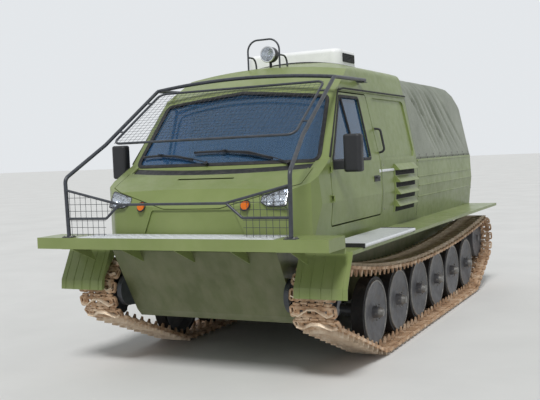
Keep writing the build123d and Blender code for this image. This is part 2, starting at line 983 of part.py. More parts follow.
with BuildPart() as bonnet_slot:
    add(
        box_between(
            (
                bonnet_hinge_x - bonnet_arm_width / 2 - hinge_side_gap,
                from_nose(bonnet_pin_place - 100),
                bonnet_pin_z - bonnet_arm_fall - 20,
            ),
            (
                bonnet_hinge_x + bonnet_arm_width / 2 + hinge_side_gap,
                from_nose(bonnet_pin_place + 12),
                bonnet_pin_z + 60,
            ),
        )
    )

with BuildPart() as cab_body:
    add(cab_outer)
    add(cab_inner, mode=Mode.SUBTRACT)
    add(above_gutter, mode=Mode.SUBTRACT)
    add(door_opening, mode=Mode.SUBTRACT)
    add(bonnet_opening, mode=Mode.SUBTRACT)
    add(cowl_region.part, mode=Mode.SUBTRACT)
    add(screen_opening, mode=Mode.SUBTRACT)
    add(side_pressings.part, mode=Mode.SUBTRACT)
    add(front_pressing.part, mode=Mode.SUBTRACT)
    for opening in (headlamp_opening, indicator_opening):
        add(opening, mode=Mode.SUBTRACT)
        add(mirrored(opening).part, mode=Mode.SUBTRACT)
    add(both_sides(door_pins.part).part)
write_piece(cab_body, "cab_body")

gutter_rail = box_between(
    (gutter_x - cab_wall / 2, from_nose(gutter_rail_front), gutter_z),
    (gutter_x + gutter_rail_reach, from_nose(cab_rear), gutter_z + gutter_rail_height),
)
with BuildPart() as cab_roof:
    add(cab_outer)
    add(cab_inner, mode=Mode.SUBTRACT)
    add(above_gutter, mode=Mode.INTERSECT)
    add(screen_opening, mode=Mode.SUBTRACT)
    add(both_sides(gutter_rail).part)
write_piece(cab_roof, "cab_roof")

with BuildPart() as bonnet:
    add(cab_outer)
    add(cab_inner, mode=Mode.SUBTRACT)
    add(bonnet_region(0), mode=Mode.INTERSECT)
    add(bonnet_groove.part, mode=Mode.SUBTRACT)
    add(both_sides(bonnet_arm.part).part)
write_piece(bonnet, "bonnet")

with BuildPart() as cowl:
    add(cab_volume(cowl_drop))
    add(cab_inner, mode=Mode.SUBTRACT)
    add(cowl_region.part, mode=Mode.INTERSECT)
    add(screen_opening, mode=Mode.SUBTRACT)
    add(both_sides(bonnet_ears.part).part)
    add(both_sides(bonnet_slot.part).part, mode=Mode.SUBTRACT)
    add(
        both_sides(
            pin_bar(bonnet_pin_line, bonnet_hinge_x, 2 * bonnet_ear_shift + hinge_ear, bonnet_pin_radius)
        ).part
    )
write_piece(cowl, "cowl")

with BuildPart() as windscreen:
    add(glass_outer)
    add(glass_inner, mode=Mode.SUBTRACT)
    add(front_prism(screen_view, 60, -seat_gap, 500, 1700), mode=Mode.INTERSECT)
write_piece(windscreen, "windscreen")

with BuildPart() as headlamp_left:
    add(cab_volume(-seat_gap))
    add(cab_inner, mode=Mode.SUBTRACT)
    add(front_prism(headlamp_view, 18, -seat_gap, 200, 700), mode=Mode.INTERSECT)
write_piece(both_sides(headlamp_left.part), "headlamps")

with BuildPart() as indicator_left:
    add(indicator_shape(cab_front + 5, cab_front + 60))
write_piece(both_sides(indicator_left.part), "indicators")

with BuildPart() as door_left:
    add(cab_outer)
    add(cab_inner, mode=Mode.SUBTRACT)
    add(side_prism(door_outline, radius=25), mode=Mode.INTERSECT)
    add(left_half(), mode=Mode.INTERSECT)
    add(side_prism(door_window, radius=30), mode=Mode.SUBTRACT)
    add(door_knuckles.part)
write_piece(door_left, "door_left")
write_piece(mirrored(door_left.part), "door_right")

with BuildPart() as door_glass_left:
    add(glass_outer)
    add(glass_inner, mode=Mode.SUBTRACT)
    add(side_prism(door_window, radius=30, grow=-seat_gap), mode=Mode.INTERSECT)
    add(left_half(), mode=Mode.INTERSECT)
write_piece(door_glass_left, "door_glass_left")
write_piece(mirrored(door_glass_left.part), "door_glass_right")

# What is seated on the cab is cut to this form, a little larger than the cab
cab_seat = cab_volume(-seat_gap)

# Door mirrors on low arms
mirror_centre = (1200, from_nose(1030), 1858)
mirror_size = (160, 105, 320)
mirror_corner = 35
mirror_edge = 22
with BuildPart() as mirror_left:
    with Locations(mirror_centre):
        Box(*mirror_size)
    fillet(mirror_left.edges().filter_by(Axis.Z), mirror_corner)
    fillet(mirror_left.edges().group_by(Axis.Z)[-1] + mirror_left.edges().group_by(Axis.Z)[0], mirror_edge)
    add(
        box_between(
            (1000, mirror_centre[1] - 30, mirror_centre[2] - mirror_size[2] / 2 + 24),
            (mirror_centre[0] - 50, mirror_centre[1] + 32, mirror_centre[2] - mirror_size[2] / 2 + 94),
        )
    )
    add(cab_seat, mode=Mode.SUBTRACT)
write_piece(mirror_left, "mirror_left")
write_piece(mirrored(mirror_left.part), "mirror_right")

# Louvred air boxes on the cab sides
louvre_front = 2600
louvre_rear = 3280
louvre_low = 1232
louvre_high = 1725
louvre_slots = 4
louvre_reach = 58
louvre_plate = 8
louvre_sheet = 4
louvre_margin = 16
louvre_pitch = (louvre_high - louvre_low) / louvre_slots


def side_x(height):
    """Half width of the body side at a height below the belt."""
    if height < crease_z:
        return base_x + (crease_x - base_x) * (height - deck_z) / (crease_z - deck_z)
    return crease_x + (belt_x - crease_x) * (height - crease_z) / (belt_z - crease_z)


def louvre_ring(top):
    """Outline of one hood in the XZ plane, from its root on the plate down to its lip."""
    lip = top - 0.5 * louvre_pitch
    return [
        (side_x(top) + louvre_plate / 2, top),
        (side_x(top) + louvre_plate, top),
        (side_x(lip) + louvre_reach, lip),
        (side_x(lip) + louvre_reach, lip - louvre_sheet),
        (side_x(lip) + louvre_plate / 2, lip - louvre_sheet),
    ]


hollow_depth = louvre_plate + louvre_sheet
with BuildPart() as louvre_left:
    with BuildSketch(Plane.XZ.offset(-from_nose(louvre_front))):
        with BuildLine():
            Polyline(
                (side_x(louvre_high), louvre_high),
                (side_x(louvre_high) + louvre_plate, louvre_high),
                (crease_x + louvre_plate, crease_z),
                (side_x(louvre_low) + louvre_plate, louvre_low),
                (side_x(louvre_low), louvre_low),
                (crease_x, crease_z),
                close=True,
            )
        make_face()
    extrude(amount=louvre_front - louvre_rear)
    for slot in range(louvre_slots):
        hood_top = louvre_high - slot * louvre_pitch
        hood_lip = hood_top - 0.5 * louvre_pitch
        with BuildSketch(Plane.XZ.offset(-from_nose(louvre_front + louvre_margin))):
            with BuildLine():
                Polyline(*louvre_ring(hood_top), close=True)
            make_face()
        extrude(amount=louvre_front - louvre_rear + 2 * louvre_margin)
        with BuildSketch(Plane.XZ.offset(-from_nose(louvre_front + louvre_margin + louvre_sheet))):
            with BuildLine():
                Polyline(
                    (side_x(hood_top) + louvre_sheet, hood_top - hollow_depth),
                    (side_x(hood_lip) + louvre_reach - louvre_sheet, hood_lip - louvre_sheet / 2),
                    (side_x(hood_lip) + louvre_reach - louvre_sheet, hood_lip - 2 * louvre_sheet),
                    (side_x(hood_lip) + louvre_sheet, hood_lip - 2 * louvre_sheet),
                    close=True,
                )
            make_face()
        extrude(amount=louvre_front - louvre_rear + 2 * (louvre_margin + louvre_sheet), mode=Mode.SUBTRACT)
write_piece(both_sides(louvre_left.part), "louvre_boxes")

# Grab handles behind the doors
grab_place = 2225
with BuildPart() as grab_left:
    add(
        bent_tube(
            [
                (960, from_nose(grab_place), 1835),
                (1065, from_nose(grab_place), 1860),
                (1025, from_nose(grab_place), 2075),
                (920, from_nose(grab_place), 2085),
            ],
            11,
            35,
        )
    )
    add(cab_seat, mode=Mode.SUBTRACT)
write_piece(both_sides(grab_left.part), "grab_handles")


def upper_prism(inset, crown, start, end):
    """The upper body's cross section, moved in by an inset, between two places."""
    with BuildPart() as prism:
        extrude(body_section(inset, crown), amount=5000, both=True)
        add(box_between((-2000, from_nose(start), 0), (2000, from_nose(end), 4000)), mode=Mode.INTERSECT)
    return prism.part


# The tailgate turns on pins behind its lower edge
gate_pin_line = Plane(
    origin=(0, from_nose(bed_rear + gate_knuckle_radius + hinge_side_gap), gate_bottom - gate_pin_drop),
    x_dir=(0, 0, 1),
    z_dir=(1, 0, 0),
)
gate_leaf = 24
gate_ear_shift = gate_knuckle_length / 2 + hinge_side_gap + hinge_ear / 2

# Load bed: metal sides, a floor and a rear frame with the tailgate opening
with BuildPart() as load_bed:
    add(upper_prism(0, crown_z, cab_rear, bed_rear))
    add(upper_prism(bed_wall, crown_z, cab_rear - 100, bed_rear - bed_wall), mode=Mode.SUBTRACT)
    add(box_between((-2000, from_nose(0), bed_top), (2000, from_nose(9000), 4000)), mode=Mode.SUBTRACT)
    add(
        box_between(
            (-gate_half_width - panel_gap, from_nose(bed_rear - 200), gate_bottom - panel_gap),
            (gate_half_width + panel_gap, from_nose(bed_rear + 200), 4000),
        ),
        mode=Mode.SUBTRACT,
    )
    for place in gate_hinge_places:
        for shift in (-gate_ear_shift, gate_ear_shift):
            middle = place + shift
            add(hinge_half(gate_pin_line, middle, hinge_ear, -gate_leaf, gate_leaf, gate_knuckle_radius))
        add(pin_bar(gate_pin_line, place, 2 * gate_ear_shift + hinge_ear, gate_pin_radius))
write_piece(load_bed, "load_bed")

with BuildPart() as tailgate:
    add(
        box_between(
            (-gate_half_width, from_nose(bed_rear - bed_wall), gate_bottom),
            (gate_half_width, from_nose(bed_rear), gate_top),
        )
    )
    for place in gate_hinge_places:
        add(hinge_half(gate_pin_line, place, gate_knuckle_length, gate_leaf, gate_leaf, gate_knuckle_radius))
        add(
            pin_bar(gate_pin_line, place, 2 * gate_knuckle_length, gate_pin_radius + pin_clearance),
            mode=Mode.SUBTRACT,
        )
write_piece(tailgate, "tailgate")

with BuildPart() as tail_lamp_left:
    add(box_between((945, from_nose(bed_rear), 1300), (1010, from_nose(bed_rear + 28), 1440)))
write_piece(both_sides(tail_lamp_left.part), "tail_lamps")


def tilt_volume(inset):
    """The closed outer form of the canvas tilt, moved in by an inset."""
    crown = crown_z - tilt_drop
    with BuildPart() as volume:
        add(upper_prism(inset, crown, cab_rear + seat_gap, bed_rear))
        with BuildSketch(Plane.YZ):
            with BuildLine():
                Polyline(
                    (from_nose(cab_rear - 500), 1000),
                    (from_nose(cab_rear - 500), crown + 200),
                    (from_nose(tilt_shoulder - 200), crown + 200),
                    (from_nose(tilt_shoulder), crown),
                    (from_nose(bed_rear - 90), tilt_shoulder_z),
                    (from_nose(bed_rear), bed_top),
                    (from_nose(bed_rear), 1000),
                    close=True,
                )
            make_face()
            if inset:
                offset(amount=-inset, kind=Kind.INTERSECTION, mode=Mode.REPLACE)
        extrude(amount=2000, both=True, mode=Mode.INTERSECT)
    return volume.part


with BuildPart() as tilt:
    add(tilt_volume(0))
    add(tilt_volume(tilt_thick), mode=Mode.SUBTRACT)
    add(
        box_between((-2000, from_nose(0), 0), (2000, from_nose(9000), bed_top + seat_gap)),
        mode=Mode.SUBTRACT,
    )
write_piece(tilt, "tilt")

# White roof box
roof_box_top = crown_z + roof_box_height
with BuildPart() as roof_box:
    add(
        box_between(
            (-roof_box_half_width, from_nose(roof_box_front), gutter_z),
            (roof_box_half_width, from_nose(roof_box_rear), roof_box_top),
        )
    )
    fillet(roof_box.edges().filter_by(Axis.Z), 90)
    fillet(roof_box.edges().group_by(Axis.Z)[-1], 45)
    add(cab_seat, mode=Mode.SUBTRACT)
write_piece(roof_box, "roof_box")

# Spot lamp and its hoop guard on the roof
lamp_z = crown_z + lamp_rise
lamp_depth = 110
lamp_stem_radius = 14
with BuildPart() as spot_lamp:
    with BuildSketch(Plane.XZ.offset(-from_nose(lamp_place))):
        with Locations((0, lamp_z)):
            Circle(lamp_radius)
    extrude(amount=-lamp_depth)
    fillet(spot_lamp.edges().sort_by(Axis.Y)[-1], 35)
    with BuildSketch(Plane.XY.offset(lamp_z)):
        with Locations((0, from_nose(lamp_place + lamp_depth / 2))):
            Circle(lamp_stem_radius)
    extrude(amount=gutter_z - lamp_z)
    add(cab_seat, mode=Mode.SUBTRACT)
write_piece(spot_lamp, "spot_lamp")

hoop_top = crown_z + hoop_rise
hoop_foot = gutter_z
brace_z = hoop_foot + 0.72 * (hoop_top - hoop_foot)
brace_reach = 200
with BuildPart() as lamp_hoop:
    add(
        bent_tube(
            [
                (-hoop_half_width, from_nose(hoop_place), hoop_foot),
                (-hoop_half_width, from_nose(hoop_place), hoop_top),
                (hoop_half_width, from_nose(hoop_place), hoop_top),
                (hoop_half_width, from_nose(hoop_place), hoop_foot),
            ],
            hoop_radius,
            110,
        )
    )
    for side in (-1, 1):
        add(
            bent_tube(
                [
                    (side * hoop_half_width, from_nose(hoop_place), brace_z),
                    (side * hoop_half_width, from_nose(hoop_place + 0.8 * brace_reach), brace_z),
                    (side * hoop_half_width, from_nose(hoop_place + brace_reach), hoop_foot),
                ],
                hoop_radius,
                80,
            )
        )
    add(cab_seat, mode=Mode.SUBTRACT)
write_piece(lamp_hoop, "lamp_hoop")

# Brush guard: posts, slanted side tubes, a bowed top bar and the frame of the screen mesh
post_foot = (1057, from_nose(guard_place), platform_top + 4)
post_bend = (1067, from_nose(guard_place), 1738)
side_joint = (976, from_nose(510), 2022)
top_corner = (932, from_nose(1320), 2535)
stub_end = (948, from_nose(2050), 2545)
frame_half_low = 900
frame_half_high = 862
bar_z = 1510
panel_low_z = 1395
panel_high_z = 1640
bar_half_width = 500
panel_end_x = (post_foot[0] + post_bend[0]) / 2


def slant_point(half_width, share):
    """A point in the slanted plane of the guard, by its share of the way up the side tube."""
    return (
        half_width,
        side_joint[1] + share * (top_corner[1] - side_joint[1]),
        side_joint[2] + share * (top_corner[2] - side_joint[2]),
    )


guard_routes = [
    ([post_foot, post_bend, side_joint, top_corner, stub_end], guard_radius, 70),
    (
        [
            slant_point(0, 0.93),
            slant_point(frame_half_high, 0.93),
            slant_point(frame_half_low, 0.01),
            slant_point(0, 0.01),
        ],
        guard_bar_radius,
        75,
    ),
    ([slant_point(frame_half_low, 0.22), slant_point(frame_half_low + 67, 0.22)], 7, 0),
    ([slant_point(frame_half_high, 0.75), slant_point(frame_half_high + 80, 0.75)], 7, 0),
    (
        [
            (panel_end_x, from_nose(guard_place), panel_high_z),
            (bar_half_width, from_nose(guard_place), bar_z),
            (0, from_nose(guard_place), bar_z),
        ],
        guard_bar_radius,
        40,
    ),
    (
        [
            (panel_end_x, from_nose(guard_place), panel_low_z),
            (bar_half_width + 150, from_nose(guard_place), panel_low_z),
            (bar_half_width + 10, from_nose(guard_place), bar_z),
        ],
        guard_bar_radius,
        30,
    ),
]
guard_tubes = [bent_tube(route, radius, bend) for route, radius, bend in guard_routes]
with BuildPart() as top_bar:
    with BuildLine() as top_arc:
        ThreePointArc(
            top_corner,
            (0, top_corner[1] - 10, top_corner[2] + 55),
            (-top_corner[0], top_corner[1], top_corner[2]),
        )
    with BuildSketch(Plane(origin=top_arc.line @ 0, z_dir=top_arc.line % 0)):
        Circle(guard_radius)
    sweep()
with BuildPart() as guard_left:
    add(guard_tubes)
    add(box_between((1012, from_nose(12), platform_top), (1102, from_nose(72), platform_top + 8)))
    add(box_between((840, from_nose(1985), 2528), (948, from_nose(2025), 2552)))
    add(cab_seat, mode=Mode.SUBTRACT)
with BuildPart() as brush_guard:
    add(guard_left.part)
    mirror(about=Plane.YZ)
    add(top_bar.part)
write_piece(brush_guard, "brush_guard")

# Seats, dashboard and steering wheel, seen through the glass
cab_floor = deck_z + cab_wall
seat_front = 1480
seat_centre_x = 460
seat_half_width = 260
with BuildPart() as seat_base_left:
    add(
        box_between(
            (seat_centre_x - seat_half_width + 30, from_nose(seat_front + 30), cab_floor),
            (seat_centre_x + seat_half_width - 30, from_nose(seat_front + 440), cab_floor + 200),
        )
    )
write_piece(both_sides(seat_base_left.part), "seat_bases")

cushion_low = cab_floor + 200 + seat_gap
with BuildPart() as cushion_left:
    add(
        box_between(
            (seat_centre_x - seat_half_width, from_nose(seat_front), cushion_low),
            (seat_centre_x + seat_half_width, from_nose(seat_front + 480), cushion_low + 130),
        )
    )
    fillet(cushion_left.edges().filter_by(Axis.Z), 50)
write_piece(both_sides(cushion_left.part), "seat_cushions")

with BuildPart() as back_left:
    with BuildSketch(Plane.YZ.offset(seat_centre_x - seat_half_width)):
        with BuildLine():
            Polyline(
                (from_nose(seat_front + 400), cushion_low + 130 + seat_gap),
                (from_nose(seat_front + 540), cushion_low + 130 + seat_gap),
                (from_nose(seat_front + 680), cushion_low + 850),
                (from_nose(seat_front + 590), cushion_low + 850),
                close=True,
            )
        make_face()
    extrude(amount=2 * seat_half_width)
write_piece(both_sides(back_left.part), "seat_backs")

dash_front = 880
dash_rear = 1150
dash_half_width = 850
dash_low = belt_z - 269
dash_high = belt_z - 24
console_half_width = 130
console_foot = 60
with BuildPart() as dashboard:
    add(
        box_between(
            (-dash_half_width, from_nose(dash_front), dash_low),
            (dash_half_width, from_nose(dash_rear), dash_high),
        )
    )
    add(
        box_between(
            (-console_half_width, from_nose(dash_front + 20), cab_floor),
            (console_half_width, from_nose(dash_rear - 10), dash_low + 20),
        )
    )
    add(cab_volume(cab_wall + 12), mode=Mode.INTERSECT)
    add(
        box_between(
            (-console_half_width - 20, from_nose(dash_front + 20), cab_floor),
            (console_half_width + 20, from_nose(dash_rear - 10), cab_floor + console_foot),
        )
    )
write_piece(dashboard, "dashboard")

wheel_centre = Vector(seat_centre_x, from_nose(1380), 1640)
wheel_tilt = 30
column_axis = Vector(0, math.sin(math.radians(wheel_tilt)), math.cos(math.radians(wheel_tilt)))
column_plane = Plane(origin=wheel_centre, x_dir=(1, 0, 0), z_dir=column_axis)
rim_ring = 190
with BuildPart() as steering_wheel:
    with BuildSketch(Plane(origin=wheel_centre, x_dir=(1, 0, 0), z_dir=column_plane.y_dir)):
        with Locations((rim_ring, 0)):
            Circle(14)
    revolve(axis=Axis(wheel_centre, column_axis))
    with BuildSketch(column_plane.offset(-30)):
        Circle(42)
    extrude(amount=26)
    with BuildSketch(column_plane.offset(-20)):
        with PolarLocations(rim_ring / 2, 3, start_angle=90):
            Rectangle(rim_ring, 28)
    extrude(amount=12)
write_piece(steering_wheel, "steering_wheel")

with BuildPart() as steering_column:
    with BuildSketch(column_plane.offset(-30 - seat_gap)):
        Circle(26)
    extrude(amount=-650)
    add(box_between((0, from_nose(0), 0), (1000, from_nose(3000), cab_floor)), mode=Mode.SUBTRACT)
write_piece(steering_column, "steering_column")

# Tow hitch: a fork with a vertical pin hole at the rear of the hull
hitch_z = 700
hitch_pin_radius = 20
hitch_place = bed_rear + 75
hitch_fork_half = 50
with BuildPart() as tow_hitch:
    add(
        box_between(
            (-110, from_nose(hull_rear), hitch_z - 90),
            (110, from_nose(hull_rear + 12), hitch_z + 90),
        )
    )
    add(
        box_between(
            (-hitch_fork_half, from_nose(hull_rear), hitch_z - 45),
            (hitch_fork_half, from_nose(hitch_place + hitch_fork_half), hitch_z + 45),
        )
    )
    add(
        box_between(
            (-hitch_fork_half - 10, from_nose(hitch_place - 60), hitch_z - 22),
            (hitch_fork_half + 10, from_nose(hitch_place + 100), hitch_z + 22),
        ),
        mode=Mode.SUBTRACT,
    )
    with BuildSketch(Plane.XY.offset(hitch_z - 100)):
        with Locations((0, from_nose(hitch_place))):
            Circle(hitch_pin_radius)
    extrude(amount=200, mode=Mode.SUBTRACT)
write_piece(tow_hitch, "tow_hitch")
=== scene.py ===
"""Looks for the tracked all-terrain vehicle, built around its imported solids.

Metres, in the vehicle's own frame: +Z up, nose along -Y, left side +X. Places along
the vehicle are written as distances behind the front platform.
"""
import json
import math

import bmesh
import bpy
import numpy as np
from mathutils import Matrix, Vector
from mathutils.bvhtree import BVHTree


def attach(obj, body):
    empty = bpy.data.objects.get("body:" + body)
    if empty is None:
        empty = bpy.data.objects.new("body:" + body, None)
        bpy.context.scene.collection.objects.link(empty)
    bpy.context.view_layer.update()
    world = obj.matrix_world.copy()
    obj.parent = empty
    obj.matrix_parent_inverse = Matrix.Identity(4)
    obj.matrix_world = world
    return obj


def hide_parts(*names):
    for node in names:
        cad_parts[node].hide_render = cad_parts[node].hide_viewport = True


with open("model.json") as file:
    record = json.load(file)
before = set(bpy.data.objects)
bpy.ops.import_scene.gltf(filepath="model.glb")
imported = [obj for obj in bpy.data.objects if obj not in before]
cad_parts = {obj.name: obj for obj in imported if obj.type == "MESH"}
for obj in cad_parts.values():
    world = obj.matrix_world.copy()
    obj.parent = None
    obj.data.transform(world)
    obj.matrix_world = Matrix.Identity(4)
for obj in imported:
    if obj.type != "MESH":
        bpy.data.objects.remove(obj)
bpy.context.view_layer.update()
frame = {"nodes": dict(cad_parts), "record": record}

HALF_LENGTH = 3.043
shift = Matrix.Translation
upright, sideways = Vector((0, 0, 1)), Vector((1, 0, 0))


def back(distance):
    """Y of a place that lies this far behind the front platform."""
    return distance - HALF_LENGTH


# Sizes shared with the solids
track_x = 1.055
shoe_count = 98
lug_tip = 0.056
belt_radius = 0.328
wheel_z = lug_tip + belt_radius
wheel_places = [1.660 + 0.685 * index for index in range(6)]
rim_x, rim_radius = 1.119, 0.298
hub_face_x = 1.155
sprocket = (back(0.640), 0.690, 0.240)
idler = (back(5.780), 0.625, 0.250)
belt_x, belt_z = 1.022, 1.769
crease_x, crease_z = 1.035, 1.450
base_x, deck_z = 0.995, 1.095
gutter_x, gutter_z = 0.905, 2.430
shoulder_x, crown_z, shoulder_drop = 0.850, 2.815, 0.145
crown_radius = (shoulder_x**2 + shoulder_drop**2) / (2 * shoulder_drop)
cowl_place, cowl_z = 0.790, 1.785
screen_slope = math.radians(50)
screen_bow_radius = 5.290
brow_place, brow_z = 0.430, 1.610
nose_slope = math.atan2(0.160, 0.100)
nose_bow_radius = 13.09
cab_rear, bed_rear, bed_top = 3.400, 5.880, 1.755
guard_y = back(0.042)
platform_top = 1.234
side_joint = Vector((0.976, back(0.510), 2.022))
top_corner = Vector((0.932, back(1.320), 2.535))
step_inner_x, step_outer_x, step_top = 1.060, 1.385, 1.125
step_front, step_rear = 0.720, 2.060
lamp_place, lamp_z = 1.900, 2.863
roof_box_front, roof_box_rear, roof_box_half_width = 2.450, 2.980, 0.530
seat_x, seat_front, cushion_low = 0.460, 1.480, 1.3453
glass_depth, glass_thick, glass_middle_z, glass_rings = 0.014, 0.005, 2.110, 16


# Shapes
def new_object(name, data):
    made = bpy.data.objects.new(name, data)
    bpy.context.scene.collection.objects.link(made)
    return made


class Shape:
    """Points and faces gathered for one piece, in metres."""

    def __init__(self):
        self.points, self.faces = [], []

    def add(self, points, faces, place=None):
        start = len(self.points)
        self.points += [place @ Vector(p) if place else Vector(p) for p in points]
        self.faces += [[start + corner for corner in face] for face in faces]
        return self

    def box(self, low, high, place=None):
        xs, ys, zs = zip(low, high)
        points = [(x, y, z) for x in xs for y in ys for z in zs]
        faces = [(0, 1, 3, 2), (4, 6, 7, 5), (0, 4, 5, 1), (2, 3, 7, 6), (0, 2, 6, 4), (1, 5, 7, 3)]
        return self.add(points, faces, place)

    def rings(self, rings, closed=False, place=None, ends=True):
        """A skin through rings of points that have one number of points each."""
        count, total = len(rings[0]), len(rings)
        faces = []
        for ring in range(total if closed else total - 1):
            here, there = ring * count, ((ring + 1) % total) * count
            for side in range(count):
                turn = (side + 1) % count
                faces.append((here + side, here + turn, there + turn, there + side))
        if ends and not closed:
            faces += [range(count)[::-1], range((total - 1) * count, total * count)]
        return self.add([p for ring in rings for p in ring], faces, place)

    def laid(self, line, section, normal=None, closed=False):
        """A section of (side, up) laid along a line, with its top towards a direction."""
        return self.rings(swept(line, section, closed, normal), closed)

    def tube(self, route, radius, sides=10, closed=False):
        """A round bar along a route."""
        return self.laid(route, circle(radius, sides), None, closed)

    def rod(self, start, end, radius, sides=12):
        return self.tube([start, end], radius, sides)

    def turned(self, profile, sides=32, place=None, closed=False):
        """A profile of (along, radius) turned about the X axis."""
        rings = [[(along, y, z) for y, z in circle(radius, sides)] for along, radius in profile]
        return self.rings(rings, closed, place)

    def bolt(self, point, direction, radius, height):
        """A washer and a hexagon head that stand on a surface."""
        place = facing(point, direction)
        self.turned([(-0.001, 1.5 * radius), (0.25 * height, 1.5 * radius)], 14, place)
        self.turned([(0.2 * height, radius), (0.9 * height, radius), (height, 0.8 * radius)], 6, place)

    def mirrored(self):
        """The same shape on the vehicle's other side."""
        twin = Shape()
        twin.points = [Vector((-p.x, p.y, p.z)) for p in self.points]
        twin.faces = [face[::-1] for face in self.faces]
        return twin

    def both_sides(self):
        """This shape and its mirror image."""
        twin = self.mirrored()
        return self.add(twin.points, twin.faces)

    def mesh(self, name):
        """A mesh whose faces look outward."""
        mesh = bpy.data.meshes.new(name)
        mesh.from_pydata([tuple(p) for p in self.points], [], self.faces)
        mesh.validate()
        work = bmesh.new()
        work.from_mesh(mesh)
        bmesh.ops.recalc_face_normals(work, faces=work.faces)
        work.to_mesh(mesh)
        work.free()
        return mesh

    def piece(self, name, material, body="vehicle", smooth=40, bevel=0.0):
        """The shape as an object that rides on a body."""
        mesh = self.mesh(name)
        mesh.shade_smooth()
        mesh.materials.append(material)
        made = new_object(name, mesh)
        if bevel:
            cut = made.modifiers.new("edges", "BEVEL")
            cut.width, cut.segments, cut.limit_method = bevel, 2, "ANGLE"
        mesh.set_sharp_from_angle(angle=math.radians(smooth))
        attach(made, body)
        return made


def facing(point, direction):
    """A placement whose X axis points in a direction."""
    return shift(point) @ Vector(direction).normalized().to_track_quat("X", "Z").to_matrix().to_4x4()


def turned_to(*axes):
    """A turn that brings X, Y and Z onto three directions."""
    return Matrix(axes).transposed().to_4x4()


def circle(radius, sides):
    turns = [2 * math.pi * side / sides for side in range(sides)]
    return [(radius * math.cos(turn), radius * math.sin(turn)) for turn in turns]


def flat(half, low, high):
    """The section of a flat bar, as (side, up)."""
    return [(-half, low), (-half, high), (half, high), (half, low)]


def band(width, height):
    """A flat-topped rubber section, as (side, up)."""
    half, low, shoulder = width / 2, -0.004, 0.6 * height
    left = [(-half, low), (-half, shoulder), (-half / 2, height)]
    return left + [(half / 2, height), (half, shoulder), (half, low)]


def rectangle(low, high):
    """The corners of a rectangle between two opposite ones."""
    return [low, (high[0], low[1]), high, (low[0], high[1])]


def swept(route, profile, closed=False, normal=None):
    """Rings of a profile (side, up) carried along a route, square to it."""
    route = [Vector(p) for p in route]
    rings = []
    up = None
    for index, point in enumerate(route):
        before = route[index - 1] if closed or index else point
        after = route[(index + 1) % len(route)] if closed or index < len(route) - 1 else point
        along = (after - before).normalized()
        if normal is not None:
            up = Vector(normal)
        elif up is None:
            up = upright if abs(along.z) < 0.9 else Vector((0, 1, 0))
        up = (up - along * up.dot(along)).normalized()
        side = along.cross(up)
        rings.append([point + side * a + up * b for a, b in profile])
    return rings


def rounded(corners, radius, steps=6, closed=False):
    """A route with its corners rounded."""
    corners = [Vector(p) for p in corners]
    route = []
    for index, corner in enumerate(corners):
        if not closed and index in (0, len(corners) - 1):
            route.append(corner)
            continue
        before = corners[index - 1] - corner
        after = corners[(index + 1) % len(corners)] - corner
        reach = min(radius / math.tan(before.angle(after) / 2), 0.48 * before.length, 0.48 * after.length)
        start = corner + before.normalized() * reach
        end = corner + after.normalized() * reach
        for share in (step / steps for step in range(steps + 1)):
            route.append(start * (1 - share) ** 2 + corner * 2 * share * (1 - share) + end * share**2)
    return route


def dense(route, spacing, closed=False):
    """The same route with points no further apart than a spacing."""
    route = [Vector(p) for p in route]
    points = []
    for start, end in zip(route, route[1:] + route[:1] if closed else route[1:]):
        parts = max(1, math.ceil((end - start).length / spacing))
        points += [start.lerp(end, part / parts) for part in range(parts)]
    return points if closed else points + [route[-1]]


# Materials
def srgb(*colour):
    """A colour as it reads on a screen, 0 to 255, turned into scene-linear values."""
    shares = [value / 255 for value in colour]
    return tuple(v / 12.92 if v <= 0.04045 else ((v + 0.055) / 1.055) ** 2.4 for v in shares) + (1.0,)


def add_node(tree, kind, inputs=(), **values):
    """A node with its settings; each input is a fixed value or another node's output."""
    made = tree.nodes.new("ShaderNode" + kind)
    for name, value in values.items():
        setattr(made, name, value)
    for name, value in dict(inputs).items():
        if isinstance(value, bpy.types.NodeSocket):
            tree.links.new(value, made.inputs[name])
        else:
            made.inputs[name].default_value = value
    return made


